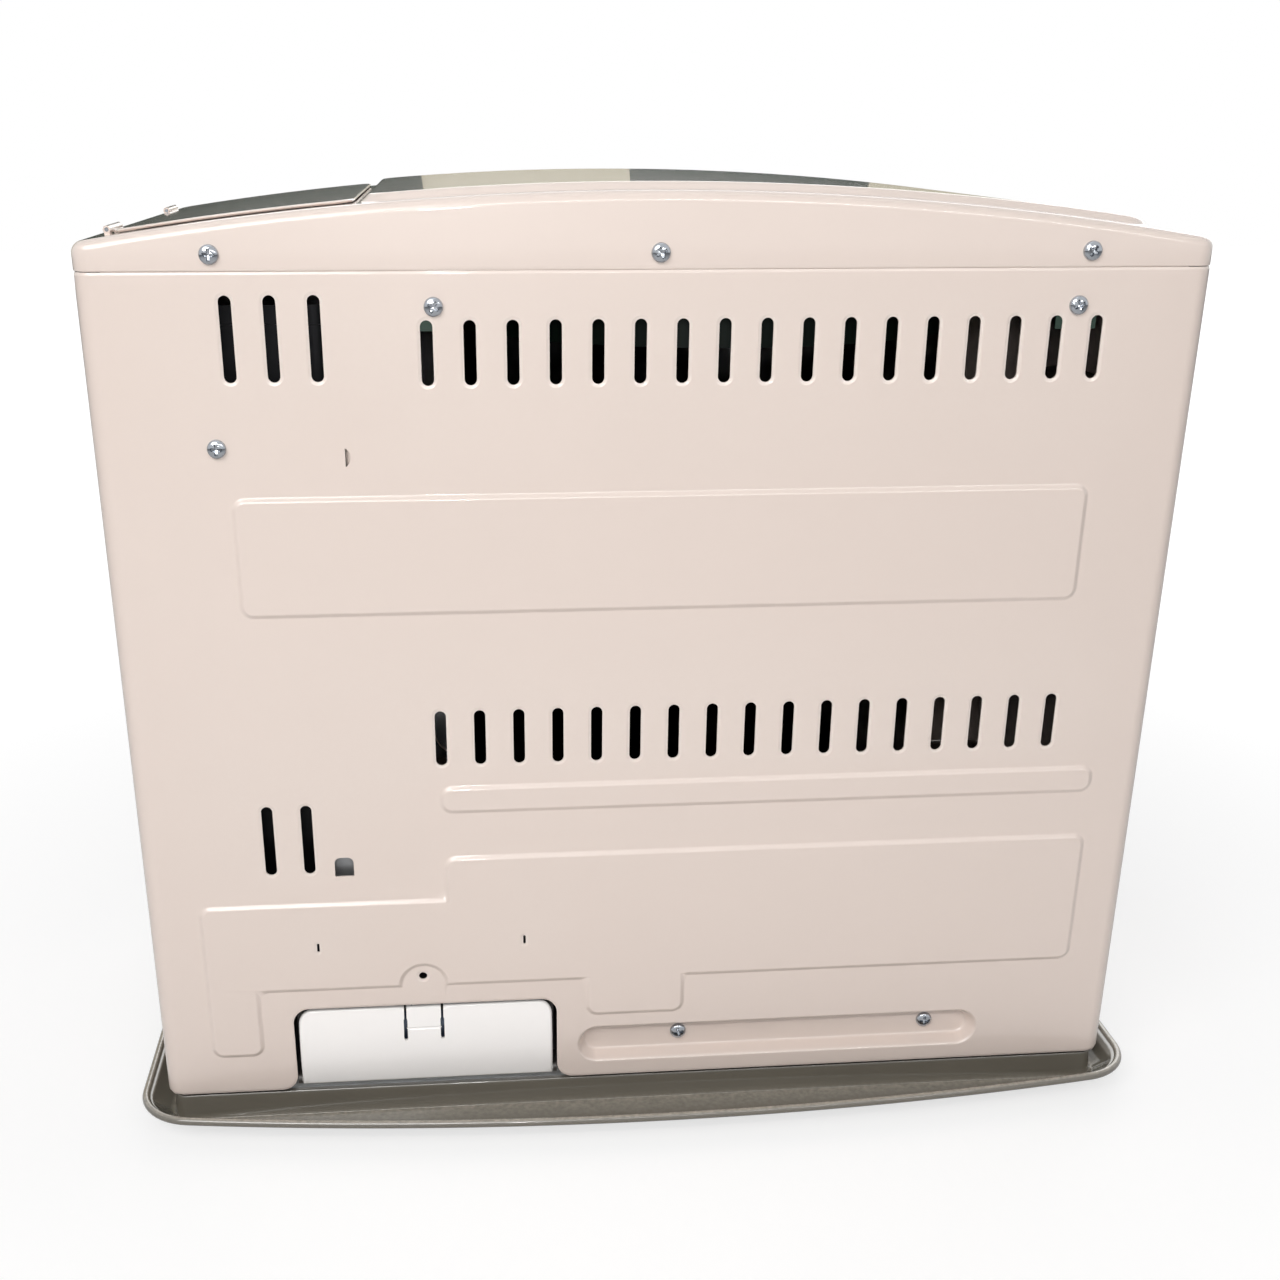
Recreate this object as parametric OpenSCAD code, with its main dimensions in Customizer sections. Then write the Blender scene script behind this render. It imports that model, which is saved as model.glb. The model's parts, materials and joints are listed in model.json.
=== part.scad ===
// Paraffin heater of the radiant wick kind, standing in its drip tray.
// Front faces -Y, back faces +Y, +Z is up, the origin is on the floor under the tray's centre.

/* [Casing] */
// Width of the casing
casing_w = 485; // [480:1:500]
// Depth of the casing from front to back
casing_d = 230; // [228:1:240]
// Height of the back panel from its bottom edge to the seam under the top
panel_h = 396; // [390:1:420]
// Height of the back panel's bottom edge above the floor
ground_gap = 20; // [19:0.5:26]
// Radius of the casing's upright corners
corner_r = 8; // [5:0.5:10]
// Thickness of the casing's steel sheet
sheet_t = 0.8; // [0.6:0.1:1.2]
// Gap at the seams between the casing's sheets
seam_gap = 0.3; // [0.2:0.1:0.6]

/* [Arched top] */
// Height of the crown above the seam
crown_h = 31; // [30:0.5:40]
// Radius of the arch across the width
arch_r = 1490; // [1450:10:1800]
// Radius where the arch turns down into the sides
shoulder_r = 5.5; // [4:0.5:8]
// Width of the raised hot plate
hotplate_w = 343; // [330:1:344]
// Height of the raised hot plate over the arch
hotplate_h = 3.3; // [2:0.1:4]
// Flat margin left before and behind the hot plate
hotplate_margin = 5; // [4:0.5:12]

/* [Back panel slots] */
// Width of every ventilation slot
slot_w = 5.3; // [4:0.1:6]
// Distance from slot to slot
slot_pitch = 18.2; // [17:0.1:18.6]
// Number of slots in each long row
slot_count = 17; // [12:1:17]
// Distance of the first slot of the long rows from the panel's middle
slot_first = 98.9; // [94:0.1:102]
// Length of the slots in the long rows
long_row_len = 27; // [20:0.5:30]
// Height of the upper long row's centre on the panel
upper_row_h = 362.4; // [355:0.1:364]
// Height of the lower long row's centre on the panel
lower_row_h = 187.8; // [180:0.1:200]
// Distance of the first slot of the tank side rows from the panel's middle
tank_slot_first = 181.6; // [178:0.1:186]
// Length of the tank side slots
tank_slot_len = 35.5; // [28:0.5:38]
// Height of the upper tank side slots' centre on the panel
tank_upper_h = 368.7; // [362:0.1:370]
// Height of the lower tank side slots' centre on the panel
tank_lower_h = 138.3; // [130:0.1:150]

/* [Back panel pressings] */
// How far the raised fields stand out
field_h = 1.4; // [1:0.1:2]
// Corner radius of the raised fields
field_r = 5; // [3:0.5:6]
// Width of the upper raised field
upper_field_w = 381.5; // [360:0.5:390]
// Height of the upper raised field
upper_field_h = 52.4; // [40:0.2:60]
// Height of the upper raised field's centre on the panel
upper_field_at = 274.9; // [265:0.1:285]
// Width of the raised bar under the lower slots
bar_w = 316; // [300:1:320]
// Height of the raised bar
bar_h = 12.2; // [10.2:0.2:14]
// Depth of the pressed channel at the foot of the panel
channel_depth = 7; // [5:0.5:8]
// Length of the pressed channel
channel_w = 209; // [200:1:214]
// Height of the pressed channel's mouth
channel_h = 21.3; // [19:0.1:23]
// Height of the pressed channel's floor
channel_floor_h = 12; // [10:0.1:14]

/* [Drip tray] */
// How far the tray reaches past the casing at each side
tray_side = 14; // [12:1:20]
// How far the tray reaches past the casing behind
tray_rear = 36; // [32:1:44]
// How far the tray reaches past the casing in front
tray_front = 58; // [54:1:66]
// Height of the tray's rim above the floor
tray_h = 18; // [15:0.5:18.5]
// Radius of the tray's bowed front and back edges
tray_bow_r = 1609; // [1400:10:2000]
// Radius of the tray's corners
tray_corner_r = 30; // [24:1:36]
// Thickness of the tray's enamelled sheet
tray_t = 1.2; // [1:0.1:1.6]
// Height above the floor of the raised rib that the casing stands on
rib_top = 17.2; // [16:0.1:17.4]
// Width of the raised rib
rib_w = 26; // [24:0.5:28]
// Height of the rubber feet under the tray
foot_h = 3; // [2:0.5:4]

/* [Fuel tank] */
// Width of the lift-out tank
tank_w = 86; // [80:1:88]
// Depth of the lift-out tank
tank_d = 185; // [170:1:188]
// Height of the lift-out tank
tank_h = 328; // [300:1:330]
// Distance of the lift-out tank from the casing's side
tank_inset = 22.5; // [21:0.5:24]
// Gap between the tank and the mouth it passes through
mouth_gap = 4; // [3:0.5:5]
// Thickness of the tank's sheet
tank_t = 0.8; // [0.6:0.1:1.2]
// Thickness of the tank lid
lid_t = 1.2; // [1:0.1:1.6]

/* [Burner] */
// Distance of the burner from the casing's middle
burner_x = -46; // [-48:0.5:-44]
// Distance of the burner from the tray's middle
burner_y = -14; // [-16:0.5:-10]
// Outer radius of the wick
wick_r = 35.7; // [35:0.1:36]
// Thickness of the wick
wick_t = 4.7; // [4:0.1:5]
// Height of the wick
wick_h = 72; // [66:1:73]
// Height of the fuel reservoir
reservoir_h = 32; // [30:1:34]
// Height of the burner housing
burner_h = 34; // [33.5:0.5:36]
// Outer radius of the glass chimney
glass_r = 51; // [50:0.5:52]
// Height of the glass chimney
glass_h = 208; // [180:1:215]
// Pitch radius of the wick pinion
pinion_r = 4; // [3.9:0.05:4.1]
// Number of teeth on the wick pinion
pinion_teeth = 10; // [10:1:10]

/* [Heat window] */
// Width of the window in the front
window_w = 300; // [290:1:306]
// Height of the window in the front
window_h = 288; // [270:1:290]
// Inner radius of the reflector
reflector_r = 140; // [136:1:141]
// How far the guard bars bow out
guard_bow = 20; // [14:1:24]
// Number of guard bars
guard_bar_count = 13; // [9:1:15]
// Thickness of a guard bar
bar_d = 2.5; // [2:0.1:3.2]

/* [Controls] */
// Height of the control panel
control_h = 88; // [86:1:89]
// How far the control panel stands out from the casing
control_out = 6; // [5:0.5:8]
// Wall of the control panel
control_t = 2.2; // [1.8:0.1:2.6]
// Radius of the wick knob
knob_r = 22; // [18:0.5:24]
// Length of the wick knob
knob_l = 17; // [14:0.5:20]
// Travel of the ignition lever
lever_travel = 13; // [12.5:0.1:13.4]
// Travel of the extinguish button
button_travel = 6; // [5:0.5:7]
// Radius of the fuel gauge's window
gauge_r = 15; // [12:0.5:18]

/* [Battery case] */
// Width of the cut-out over the battery case
cutout_w = 131.3; // [131:0.1:134]
// Height of the cut-out over the panel's bottom edge
cutout_h = 46.2; // [45:0.1:48]
// Distance of the cut-out's centre from the panel's middle
cutout_x = 111.3; // [110:0.1:112]
// Length of one dry cell
cell_l = 61.5; // [61:0.1:61.5]
// Diameter of one dry cell
cell_d = 34.2; // [33:0.1:34.2]
// Gap round the battery cover
cover_gap = 2.4; // [2.2:0.1:2.8]
// Thickness of the battery cover
cover_t = 2; // [1.6:0.1:2.4]

/* [Fixings] */
// Radius of the screw heads
head_r = 4.1; // [3.6:0.1:4.4]
// Height of the screw heads
head_h = 2.6; // [2:0.1:3]
// Radius of the screw shanks
shank_r = 2; // [1.8:0.1:2.1]
// Clearance between a shank and its hole
shank_gap = 0.2; // [0.1:0.05:0.3]
// Gap left between pieces that move past each other
move_gap = 0.4; // [0.3:0.05:0.6]
// Running clearance of pins and shafts in their bores
run_gap = 0.06; // [0.03:0.01:0.1]

/* [Hidden] */

$fn = 48;
arch_fn = 720;
past = 1;

tray_w = casing_w + 2 * tray_side;
tray_d = casing_d + tray_front + tray_rear;
rear_y = tray_d / 2 - tray_rear;
front_y = rear_y - casing_d;
mid_y = (rear_y + front_y) / 2;
side_x = casing_w / 2;
inner_x = side_x - sheet_t;
inner_rear = rear_y - sheet_t;
inner_front = front_y + sheet_t;
seam_z = ground_gap + panel_h;
channel_floor_y = rear_y - channel_depth - sheet_t;
tray_bead = 3.4;
tray_bead_h = 4;
tray_slope = 12.8;
crown_z = seam_z + crown_h;
arch_z = crown_z - arch_r;
flange_l = 20;
joggle_h = 9;

base_t = 1.2;
base_z = ground_gap + 2;
base_inset = 6;
base_flange = 18;
base_fit = 0.3;
tray_floor_z = foot_h + tray_t;
rib_inset = 1;
foot_r = 14;
foot_margin = rib_inset + rib_w + foot_r + 2;
foot_places = [for (sx = [-1, 1], sy = [-1, 1])
    [sx * (side_x - foot_margin), mid_y + sy * (casing_d / 2 - foot_margin)]];
base_screw_places = [for (sx = [-1, 1], sy = [-1, 1])
    [sx * (side_x - base_inset - 10), mid_y + sy * (casing_d / 2 - 50)]];

control_z = ground_gap + control_h;
control_y = front_y - control_out;
control_lip = 10;
deck_t = 0.8;
deck_z = control_z + deck_t;

hotplate_x = burner_x;
hotplate_y0 = front_y + hotplate_margin;
hotplate_y1 = rear_y - hotplate_margin;

tank_x = side_x - tank_inset - tank_w / 2;
tank_y = mid_y;
mouth_w = tank_w + 2 * mouth_gap;
mouth_d = tank_d + 2 * mouth_gap;
partition_x = tank_x - tank_w / 2 - 15.2;
lid_lap = 3;
lid_gap = 0.4;
lid_pin_r = 0.8;
lid_barrel_r = 1.6;
lid_hinge_x = tank_x + mouth_w / 2 + 6;
lid_hinge_z = arch_top(lid_hinge_x) + lid_barrel_r + move_gap;
lid_y0 = tank_y - mouth_d / 2 - lid_lap;
lid_y1 = tank_y + mouth_d / 2 + lid_lap;
lid_barrel_l = 14;
lid_ear_l = 7;
lid_pin_half = lid_barrel_l / 2 + move_gap + lid_ear_l;
lid_hinge_places = [lid_y0 + 20, lid_y1 - 20];

reservoir_z = base_z + 8;
reservoir_top = reservoir_z + reservoir_h;
reservoir_t = 1.2;
reservoir_x0 = burner_x - 104;
reservoir_x1 = side_x - 10.5;
reservoir_y0 = front_y + 12;
bay_h = 10;
bay_t = 1.2;
bay_r = 8;
tank_z = reservoir_top + bay_h + 0.3;
cap_r = 17;
cap_y = tank_y - 20;
strainer_r = 21;
burner_top = reservoir_top + burner_h;
burner_t = 1.2;
wick_well_r = wick_r + 8.3;
carrier_t = 1.2;
carrier_r = wick_r + 0.3 + carrier_t;
guide_r = carrier_r + move_gap;
guide_top = burner_top + 20;
air_tube_r = wick_r - wick_t - 0.5;
air_tube_t = 1.2;
wick_z = reservoir_z + 6;
spreader_z = guide_top + 2;
spreader_top = spreader_z + 9;
collar_r = glass_r + 0.2;
collar_top = burner_top + 25;
chimney_z = collar_top + 0.3;
glass_t = 3;
glass_z = chimney_z + 1.2;
glass_top = glass_z + glass_h;
outer_tube_r = 42.8;
inner_tube_r = 24.8;
flame_t = 0.8;
pin_r = 1.5;
pin_heights = [glass_z + 13, glass_top - 32];
chimney_flange_r = glass_r + 2.2;

pinion_pitch = 2 * PI * pinion_r / pinion_teeth;
rack_x = burner_x + carrier_r + 3.8;
shaft_x = rack_x + pinion_r;
shaft_z = reservoir_top + 8;
shaft_r = 2.5;
tooth_w = 0.95;
burner_left = 48;
burner_right = carrier_r + 3.8 + pinion_r + 9;
burner_half = 48;
bush_r = 6;

window_z = ground_gap + 92;
window_top = window_z + window_h;
reflector_t = 0.8;
reflector_y = front_y + 39;
cheek_front = front_y + 5;
reflector_flange = 14;
reflector_top = seam_z - 39;
deck_left = burner_x - reflector_r - 4;
deck_right = burner_x + reflector_r + 4;
deck_rear = reflector_y + reflector_r + 4;

guard_y = front_y - 8;
guard_x0 = burner_x - window_w / 2 - 8;
guard_x1 = burner_x + window_w / 2 + 8;
guard_z0 = window_z + 6;
guard_z1 = window_top + 2;
guard_rod_r = 2.5;
guard_stay_x = 84;
guard_half = (guard_x1 - guard_x0) / 2;
guard_arc_r = (guard_half * guard_half + guard_bow * guard_bow) / (2 * guard_bow);
guard_arc_deg = asin(guard_half / guard_arc_r);
guard_tab_t = 3;
guard_tab_lo = guard_z0 - guard_rod_r - 0.8 - guard_tab_t;
guard_tab_hi = guard_z1 + guard_rod_r + 0.8;
guard_step = (guard_z1 - guard_z0) / (guard_bar_count + 1);
guard_clip_half = (guard_step - bar_d) / 2 - 0.9;

carriage_x = burner_x - 72;
carriage_y = burner_y - 26;
rail_z = reservoir_top + 16;
rail_r = 2;
lever_z = rail_z;
coil_z = guide_top + 3;
coil_reach = 50.5;

button_x = burner_x + 108;
button_z = ground_gap + 50;
button_r = 9;
gauge_x = tank_x + 12;
gauge_z = ground_gap + 50;

cutout_r = 8;
case_t = 1.8;
case_w = 2 * cell_l + 1.8 + 2 * case_t;
case_d = 2 * cell_d + 1.2 + case_t;
case_top = base_z + cell_d + 1.6 + 2 * case_t;
case_rear = rear_y - 6;
case_gap = 2.6;
reservoir_y1 = case_rear - case_d - case_gap;
cover_w = cutout_w - 2 * cover_gap;
cover_h = 41.4;
cover_z = ground_gap + 2.4;
cover_bow_r = 70;
cover_apex = rear_y + 1.6;
cover_pin_r = 1.5;
cover_pin_y = rear_y - 2.6;
cover_pin_z = base_z + 3;
tab_w = 18.4;
tab_slit = 1.5;
tab_h = 17;

grip_w = 96;
grip_h = 28;
grip_depth = 14;
grip_at = 320;
grip_z = ground_gap + grip_at;
grip_t = 1.6;
grip_r = 10;

quake_x = -side_x + 26;
quake_y = front_y + 42;
quake_pin_z = base_z + 44;

// Height of the arched surface at a distance from the middle
function arch_top(x) = arch_z + sqrt(arch_r * arch_r - x * x);

// Rounded rectangle about the origin
module rounded(w, h, r) {
    square([w - 2 * r, h], center = true);
    square([w, h - 2 * r], center = true);
    for (sx = [-1, 1], sy = [-1, 1])
        translate([sx * (w / 2 - r), sy * (h / 2 - r)])
            circle(r);
}

// Slot outline, upright unless it is wider than high
module racetrack(w, h) {
    r = min(w, h) / 2;
    square(w > h ? [w - h, h] : [w, h - w], center = true);
    for (s = [-1, 1])
        translate(s * [w / 2 - r, h / 2 - r])
            circle(r);
}

// Straight base line under a wide arc, with rounded shoulders
module arched(w, apex, r_arch, r, base) {
    arc_z = apex - r_arch;
    turn_x = w / 2 - r;
    turn_z = arc_z + sqrt(pow(r_arch - r, 2) - turn_x * turn_x);
    meet_x = turn_x * r_arch / (r_arch - r);
    intersection() {
        translate([0, arc_z])
            circle(r_arch, $fn = arch_fn);
        translate([-meet_x, base])
            square([2 * meet_x, apex - base + past]);
    }
    translate([-w / 2, base])
        square([w, turn_z - base]);
    for (s = [-1, 1])
        translate([s * turn_x, turn_z])
            circle(r);
}

// Extrusion of an x-z outline between two y values
module along_y(y0, y1) {
    translate([0, y1, 0])
        rotate([90, 0, 0])
            linear_extrude(y1 - y0)
                children();
}

// Extrusion of a y-z outline between two x values
module along_x(x0, x1) {
    translate([x0, 0, 0])
        rotate([90, 0, 90])
            linear_extrude(x1 - x0)
                children();
}

// Box given by its two corners
module block(lo, hi) {
    translate(lo)
        cube(hi - lo);
}

// Upright tube
module tube(r_out, r_in, z0, z1) {
    translate([0, 0, z0])
        difference() {
            cylinder(h = z1 - z0, r = r_out, $fn = 96);
            translate([0, 0, -past])
                cylinder(h = z1 - z0 + 2 * past, r = r_in, $fn = 96);
        }
}

// Round rod along y
module rod_y(x, z, y0, y1, r) {
    translate([x, y1, z])
        rotate([90, 0, 0])
            cylinder(h = y1 - y0, r = r);
}

// Round rod along x
module rod_x(y, z, x0, x1, r) {
    translate([x0, y, z])
        rotate([0, 90, 0])
            cylinder(h = x1 - x0, r = r);
}

// Pan head screw that points along -y, its head's seat at the origin
module pan_screw(length) {
    dome_r = (head_r * head_r + head_h * head_h) / (2 * head_h);
    difference() {
        intersection() {
            translate([0, head_h - dome_r, 0])
                sphere(r = dome_r, $fn = 64);
            rotate([-90, 0, 0])
                cylinder(h = head_h + past, r = head_r);
        }
        for (a = [45, 135])
            rotate([0, a, 0])
                translate([-head_r * 0.55, head_h - 1.3, -0.45])
                    cube([head_r * 1.1, 2, 0.9]);
    }
    rotate([90, 0, 0])
        cylinder(h = length, r = shank_r);
}

// Upright prism with the casing's rounded plan
module casing_prism(inset, z0, z1) {
    translate([0, mid_y, z0])
        linear_extrude(z1 - z0)
            rounded(casing_w - 2 * inset, casing_d - 2 * inset, corner_r - inset);
}

// Wall of the casing, one sheet thick, starting at a depth below the outer face
module casing_wall(inset, z0, z1) {
    difference() {
        casing_prism(inset, z0, z1);
        casing_prism(inset + sheet_t, z0 - past, z1 + past);
    }
}

// Places on the back panel
upper_screws = [[95.6, ground_gap + upper_row_h + 19], [-182.8, ground_gap + upper_row_h + 17.8]];
tank_screw = [tank_slot_first + 8.2, ground_gap + tank_upper_h - 45.2];
channel_at = [-69, ground_gap + 18.6];
channel_screws = [[-17.3, channel_at[1] + 1.6], [-147, channel_at[1] + 1.6]];
top_screws_x = [-186.2, 0, 186.2];
top_screw_z = seam_z + 6.6;

// Racetrack dish whose sides slope, mouth on the panel's face
module channel_dish(r_mouth, r_floor, depth, lift) {
    half = (channel_w - channel_h) / 2;
    translate([channel_at[0], rear_y + lift, channel_at[1]]) {
        for (s = [-1, 1])
            translate([s * half, 0, 0])
                rotate([90, 0, 0])
                    cylinder(h = depth + lift, r1 = r_mouth, r2 = r_floor);
        rotate([90, 0, 90])
            translate([0, 0, -half])
                linear_extrude(2 * half)
                    polygon([[0, -r_mouth], [0, r_mouth],
                        [-depth - lift, r_floor], [-depth - lift, -r_floor]]);
    }
}

// Raised fields of the back panel in x-z
module fields(inset) {
    translate([-6, ground_gap + upper_field_at])
        rounded(upper_field_w - 2 * inset, upper_field_h - 2 * inset, field_r - inset);
    translate([-58.6, ground_gap + 156.8])
        rounded(bar_w - 2 * inset, bar_h - 2 * inset, field_r - inset);
    difference() {
        union() {
            translate([-59.1, ground_gap + 92])
                rounded(315.8 - 2 * inset, 68.8 - 2 * inset, field_r - inset);
            translate([149.8, ground_gap + 80.9])
                rounded(134 - 2 * inset, 46.6 - 2 * inset, field_r - inset);
            translate([204.9, ground_gap + 62.9])
                rounded(23.8 - 2 * inset, 82.4 - 2 * inset, field_r - inset);
            translate([6.1, ground_gap + 58.4])
                rounded(47.8 - 2 * inset, 43.2 - 2 * inset, field_r - inset);
        }
        translate([111.6, ground_gap + 57.6])
            circle(11.5 + inset);
    }
}

// Every slot and hole of the back panel in x-z
module panel_holes() {
    for (k = [0 : slot_count - 1], h = [upper_row_h, lower_row_h])
        translate([slot_first - k * slot_pitch, ground_gap + h])
            racetrack(slot_w, long_row_len);
    for (k = [0 : 2])
        translate([tank_slot_first - k * slot_pitch, ground_gap + tank_upper_h])
            racetrack(slot_w, tank_slot_len);
    for (k = [0 : 1])
        translate([tank_slot_first - k * slot_pitch, ground_gap + tank_lower_h])
            racetrack(slot_w, tank_slot_len);
    for (p = concat(upper_screws, [tank_screw]))
        translate(p)
            circle(shank_r + shank_gap);
    translate([111.9, ground_gap + 62.3])
        circle(2);
    for (x = [162, 61.5])
        translate([x, ground_gap + 81])
            square([1.2, 4.6], center = true);
    translate([142.6, ground_gap + 118.7])
        square([9, 7]);
    translate([147.1, ground_gap + 125.7])
        racetrack(9, 5.8);
    intersection() {
        translate([135.6 + 2.4, ground_gap + 319])
            circle(4.7);
        translate([132.8, ground_gap + 314])
            square([2.8, 10]);
    }
}

// Opening over the battery case, with round corners at its top and at the panel's feet
module cutout() {
    translate([cutout_x, ground_gap]) {
        translate([-cutout_w / 2, -past])
            square([cutout_w, cutout_h - cutout_r + past]);
        translate([0, cutout_h / 2])
            rounded(cutout_w, cutout_h, cutout_r);
        for (s = [-1, 1])
            difference() {
                translate([s * (cutout_w + cutout_r) / 2, (cutout_r - past) / 2])
                    square([cutout_r, cutout_r + past], center = true);
                translate([s * (cutout_w / 2 + cutout_r), cutout_r])
                    circle(cutout_r);
            }
    }
}

module rear_panel() {
    top_z = seam_z - seam_gap;
    color([0.9, 0.85, 0.81])
        difference() {
            union() {
                intersection() {
                    casing_wall(0, ground_gap, top_z);
                    block([-side_x - past, rear_y - flange_l, ground_gap],
                        [side_x + past, rear_y + past, top_z]);
                }
                block([-side_x + 12, inner_rear - sheet_t, seam_z - joggle_h],
                    [side_x - 12, inner_rear, seam_z + joggle_h + 1]);
                difference() {
                    along_y(rear_y - past / 2, rear_y + field_h)
                        fields(0);
                    casing_prism(sheet_t / 2, 0, crown_z);
                }
                channel_dish(channel_h / 2 + sheet_t, channel_floor_h / 2 + sheet_t,
                    channel_depth + sheet_t, 0);
            }
            along_y(inner_rear - past / 2, inner_rear + field_h)
                fields(sheet_t);
            channel_dish(channel_h / 2 + 0.6, channel_floor_h / 2, channel_depth, past);
            along_y(rear_y - flange_l / 2, rear_y + past + field_h)
                panel_holes();
            for (p = channel_screws)
                rod_y(p[0], p[1], rear_y - flange_l, rear_y + past, shank_r + shank_gap);
            for (x = top_screws_x)
                rod_y(x, top_screw_z, rear_y - flange_l, rear_y + past, shank_r + shank_gap);
            along_y(rear_y - flange_l - past, rear_y + past + field_h)
                cutout();
        }
}

module rear_screws() {
    color([0.75, 0.78, 0.82]) {
        for (p = concat(upper_screws, [tank_screw]))
            translate([p[0], rear_y, p[1]])
                pan_screw(6);
        for (p = channel_screws)
            translate([p[0], rear_y - channel_depth, p[1]])
                pan_screw(6);
    }
}

// One side sheet with its joggled edges, s is -1 for left and 1 for right
module side_sheet(s) {
    top_z = seam_z - seam_gap;
    y0 = front_y + flange_l;
    y1 = rear_y - flange_l - seam_gap;
    difference() {
        union() {
            intersection() {
                casing_wall(0, ground_gap, top_z);
                block([s > 0 ? inner_x - past : -side_x - past, y0, ground_gap],
                    [s > 0 ? side_x + past : -inner_x + past, y1, top_z]);
            }
            intersection() {
                casing_wall(sheet_t, ground_gap, seam_z + joggle_h);
                union() {
                    block([s > 0 ? 0 : -side_x, y0, seam_z - joggle_h], [s > 0 ? side_x : 0, y1, seam_z + 4]);
                    block([s > 0 ? 0 : -side_x, y0 - joggle_h, control_z + 1],
                        [s > 0 ? side_x : 0, y0 + joggle_h, seam_z - joggle_h]);
                    block([s > 0 ? 0 : -side_x, y1 - joggle_h, base_z + base_fit],
                        [s > 0 ? side_x : 0, y1 + joggle_h, seam_z - joggle_h]);
                }
            }
        }
        translate([s * side_x, mid_y, grip_z])
            rotate([90, 0, 90])
                translate([0, 0, -5])
                    linear_extrude(10)
                        rounded(grip_w, grip_h, grip_r);
    }
}

module side_panel_left() {
    color([0.9, 0.85, 0.81])
        side_sheet(-1);
}

module side_panel_right() {
    color([0.9, 0.85, 0.81])
        side_sheet(1);
}

// Hand hold cup
module grip_cup(s) {
    fit = 0.3;
    inset = fit + grip_t;
    rim_t = 1.5;
    translate([s * side_x, mid_y, grip_z])
        rotate([90, 0, -s * 90])
            difference() {
                union() {
                    translate([0, 0, -rim_t])
                        linear_extrude(rim_t)
                            rounded(grip_w + 6, grip_h + 6, grip_r + 3);
                    linear_extrude(grip_depth)
                        rounded(grip_w - 2 * fit, grip_h - 2 * fit, grip_r - fit);
                }
                translate([0, 0, -rim_t - past])
                    linear_extrude(rim_t + past + grip_depth - grip_t)
                        rounded(grip_w - 2 * inset, grip_h - 2 * inset, grip_r - inset);
            }
}

module side_grip_left() {
    color([0.35, 0.32, 0.3])
        grip_cup(-1);
}

module side_grip_right() {
    color([0.35, 0.32, 0.3])
        grip_cup(1);
}

module front_frame() {
    top_z = seam_z - seam_gap;
    z0 = control_z + seam_gap;
    color([0.9, 0.85, 0.81])
        difference() {
            union() {
                intersection() {
                    casing_wall(0, z0, top_z);
                    block([-side_x - past, front_y - past, z0],
                        [side_x + past, front_y + flange_l - seam_gap, top_z]);
                }
                block([-side_x + 12, inner_front, seam_z - joggle_h],
                    [side_x - 12, inner_front + sheet_t, seam_z + joggle_h]);
                for (z = [guard_tab_lo, guard_tab_hi])
                    block([guard_x0 - 6, guard_y - 5, z],
                        [guard_x0 + 6, front_y + sheet_t / 2, z + guard_tab_t]);
            }
            along_y(front_y - past, front_y + 2 * past)
                translate([burner_x, (window_z + window_top) / 2])
                    rounded(window_w, window_h, 14);
            translate([guard_x0, guard_y, guard_tab_lo - past])
                cylinder(h = guard_tab_hi - guard_tab_lo + 3 * guard_tab_t, r = guard_rod_r + run_gap);
        }
}

module guard_clip() {
    gap = guard_rod_r + move_gap;
    z = guard_z0 + (floor(guard_bar_count / 2) + 0.5) * guard_step;
    z0 = z - guard_clip_half;
    z1 = z + guard_clip_half;
    color([0.7, 0.7, 0.72]) {
        block([guard_x1 - gap - 1, guard_y - 2, z0], [guard_x1 - gap, front_y, z1]);
        block([guard_x1 + gap, guard_y - 2, z0], [guard_x1 + gap + 1, front_y, z1]);
        block([guard_x1 - gap - 1, front_y - 1, z0], [guard_x1 + gap + 1, front_y, z1]);
    }
}

// Bowed bar of the guard, its ends cut back
module guard_bar(z, r, cut) {
    half = guard_arc_deg - asin(cut / guard_arc_r);
    translate([burner_x, guard_y - guard_bow + guard_arc_r, z])
        rotate([0, 0, 270 - half])
            rotate_extrude(angle = 2 * half, $fn = 360)
                translate([guard_arc_r, 0])
                    circle(r, $fn = 24);
}

module guard_bars() {
    color([0.72, 0.73, 0.75])
        for (k = [1 : guard_bar_count])
            guard_bar(guard_z0 + k * guard_step, bar_d / 2, guard_rod_r + 0.1);
}

// Frame of the guard
module guard() {
    color([0.72, 0.73, 0.75]) {
        for (z = [guard_z0, guard_z1])
            guard_bar(z, guard_rod_r - 0.3, 0);
        translate([guard_x0, guard_y, guard_tab_lo])
            cylinder(h = guard_tab_hi + guard_tab_t - guard_tab_lo, r = guard_rod_r);
        translate([guard_x1, guard_y, guard_z0 - guard_rod_r])
            cylinder(h = guard_z1 - guard_z0 + 2 * guard_rod_r, r = guard_rod_r);
        for (x = [-guard_stay_x, 0, guard_stay_x])
            translate([burner_x + x, guard_y - guard_bow + guard_arc_r
                - sqrt(guard_arc_r * guard_arc_r - x * x) + bar_d + 0.05, guard_z0 - 0.7])
                cylinder(h = guard_z1 - guard_z0 + 1.4, r = bar_d / 2);
    }
}

// Outline of the control panel
module control_outline(inset) {
    d = flange_l + control_out - seam_gap;
    difference() {
        translate([0, control_y + d])
            rounded(casing_w - 2 * inset, 2 * d - 2 * inset, corner_r - inset);
        translate([-side_x - past, control_y + d])
            square([casing_w + 2 * past, d + past]);
    }
}

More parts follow.
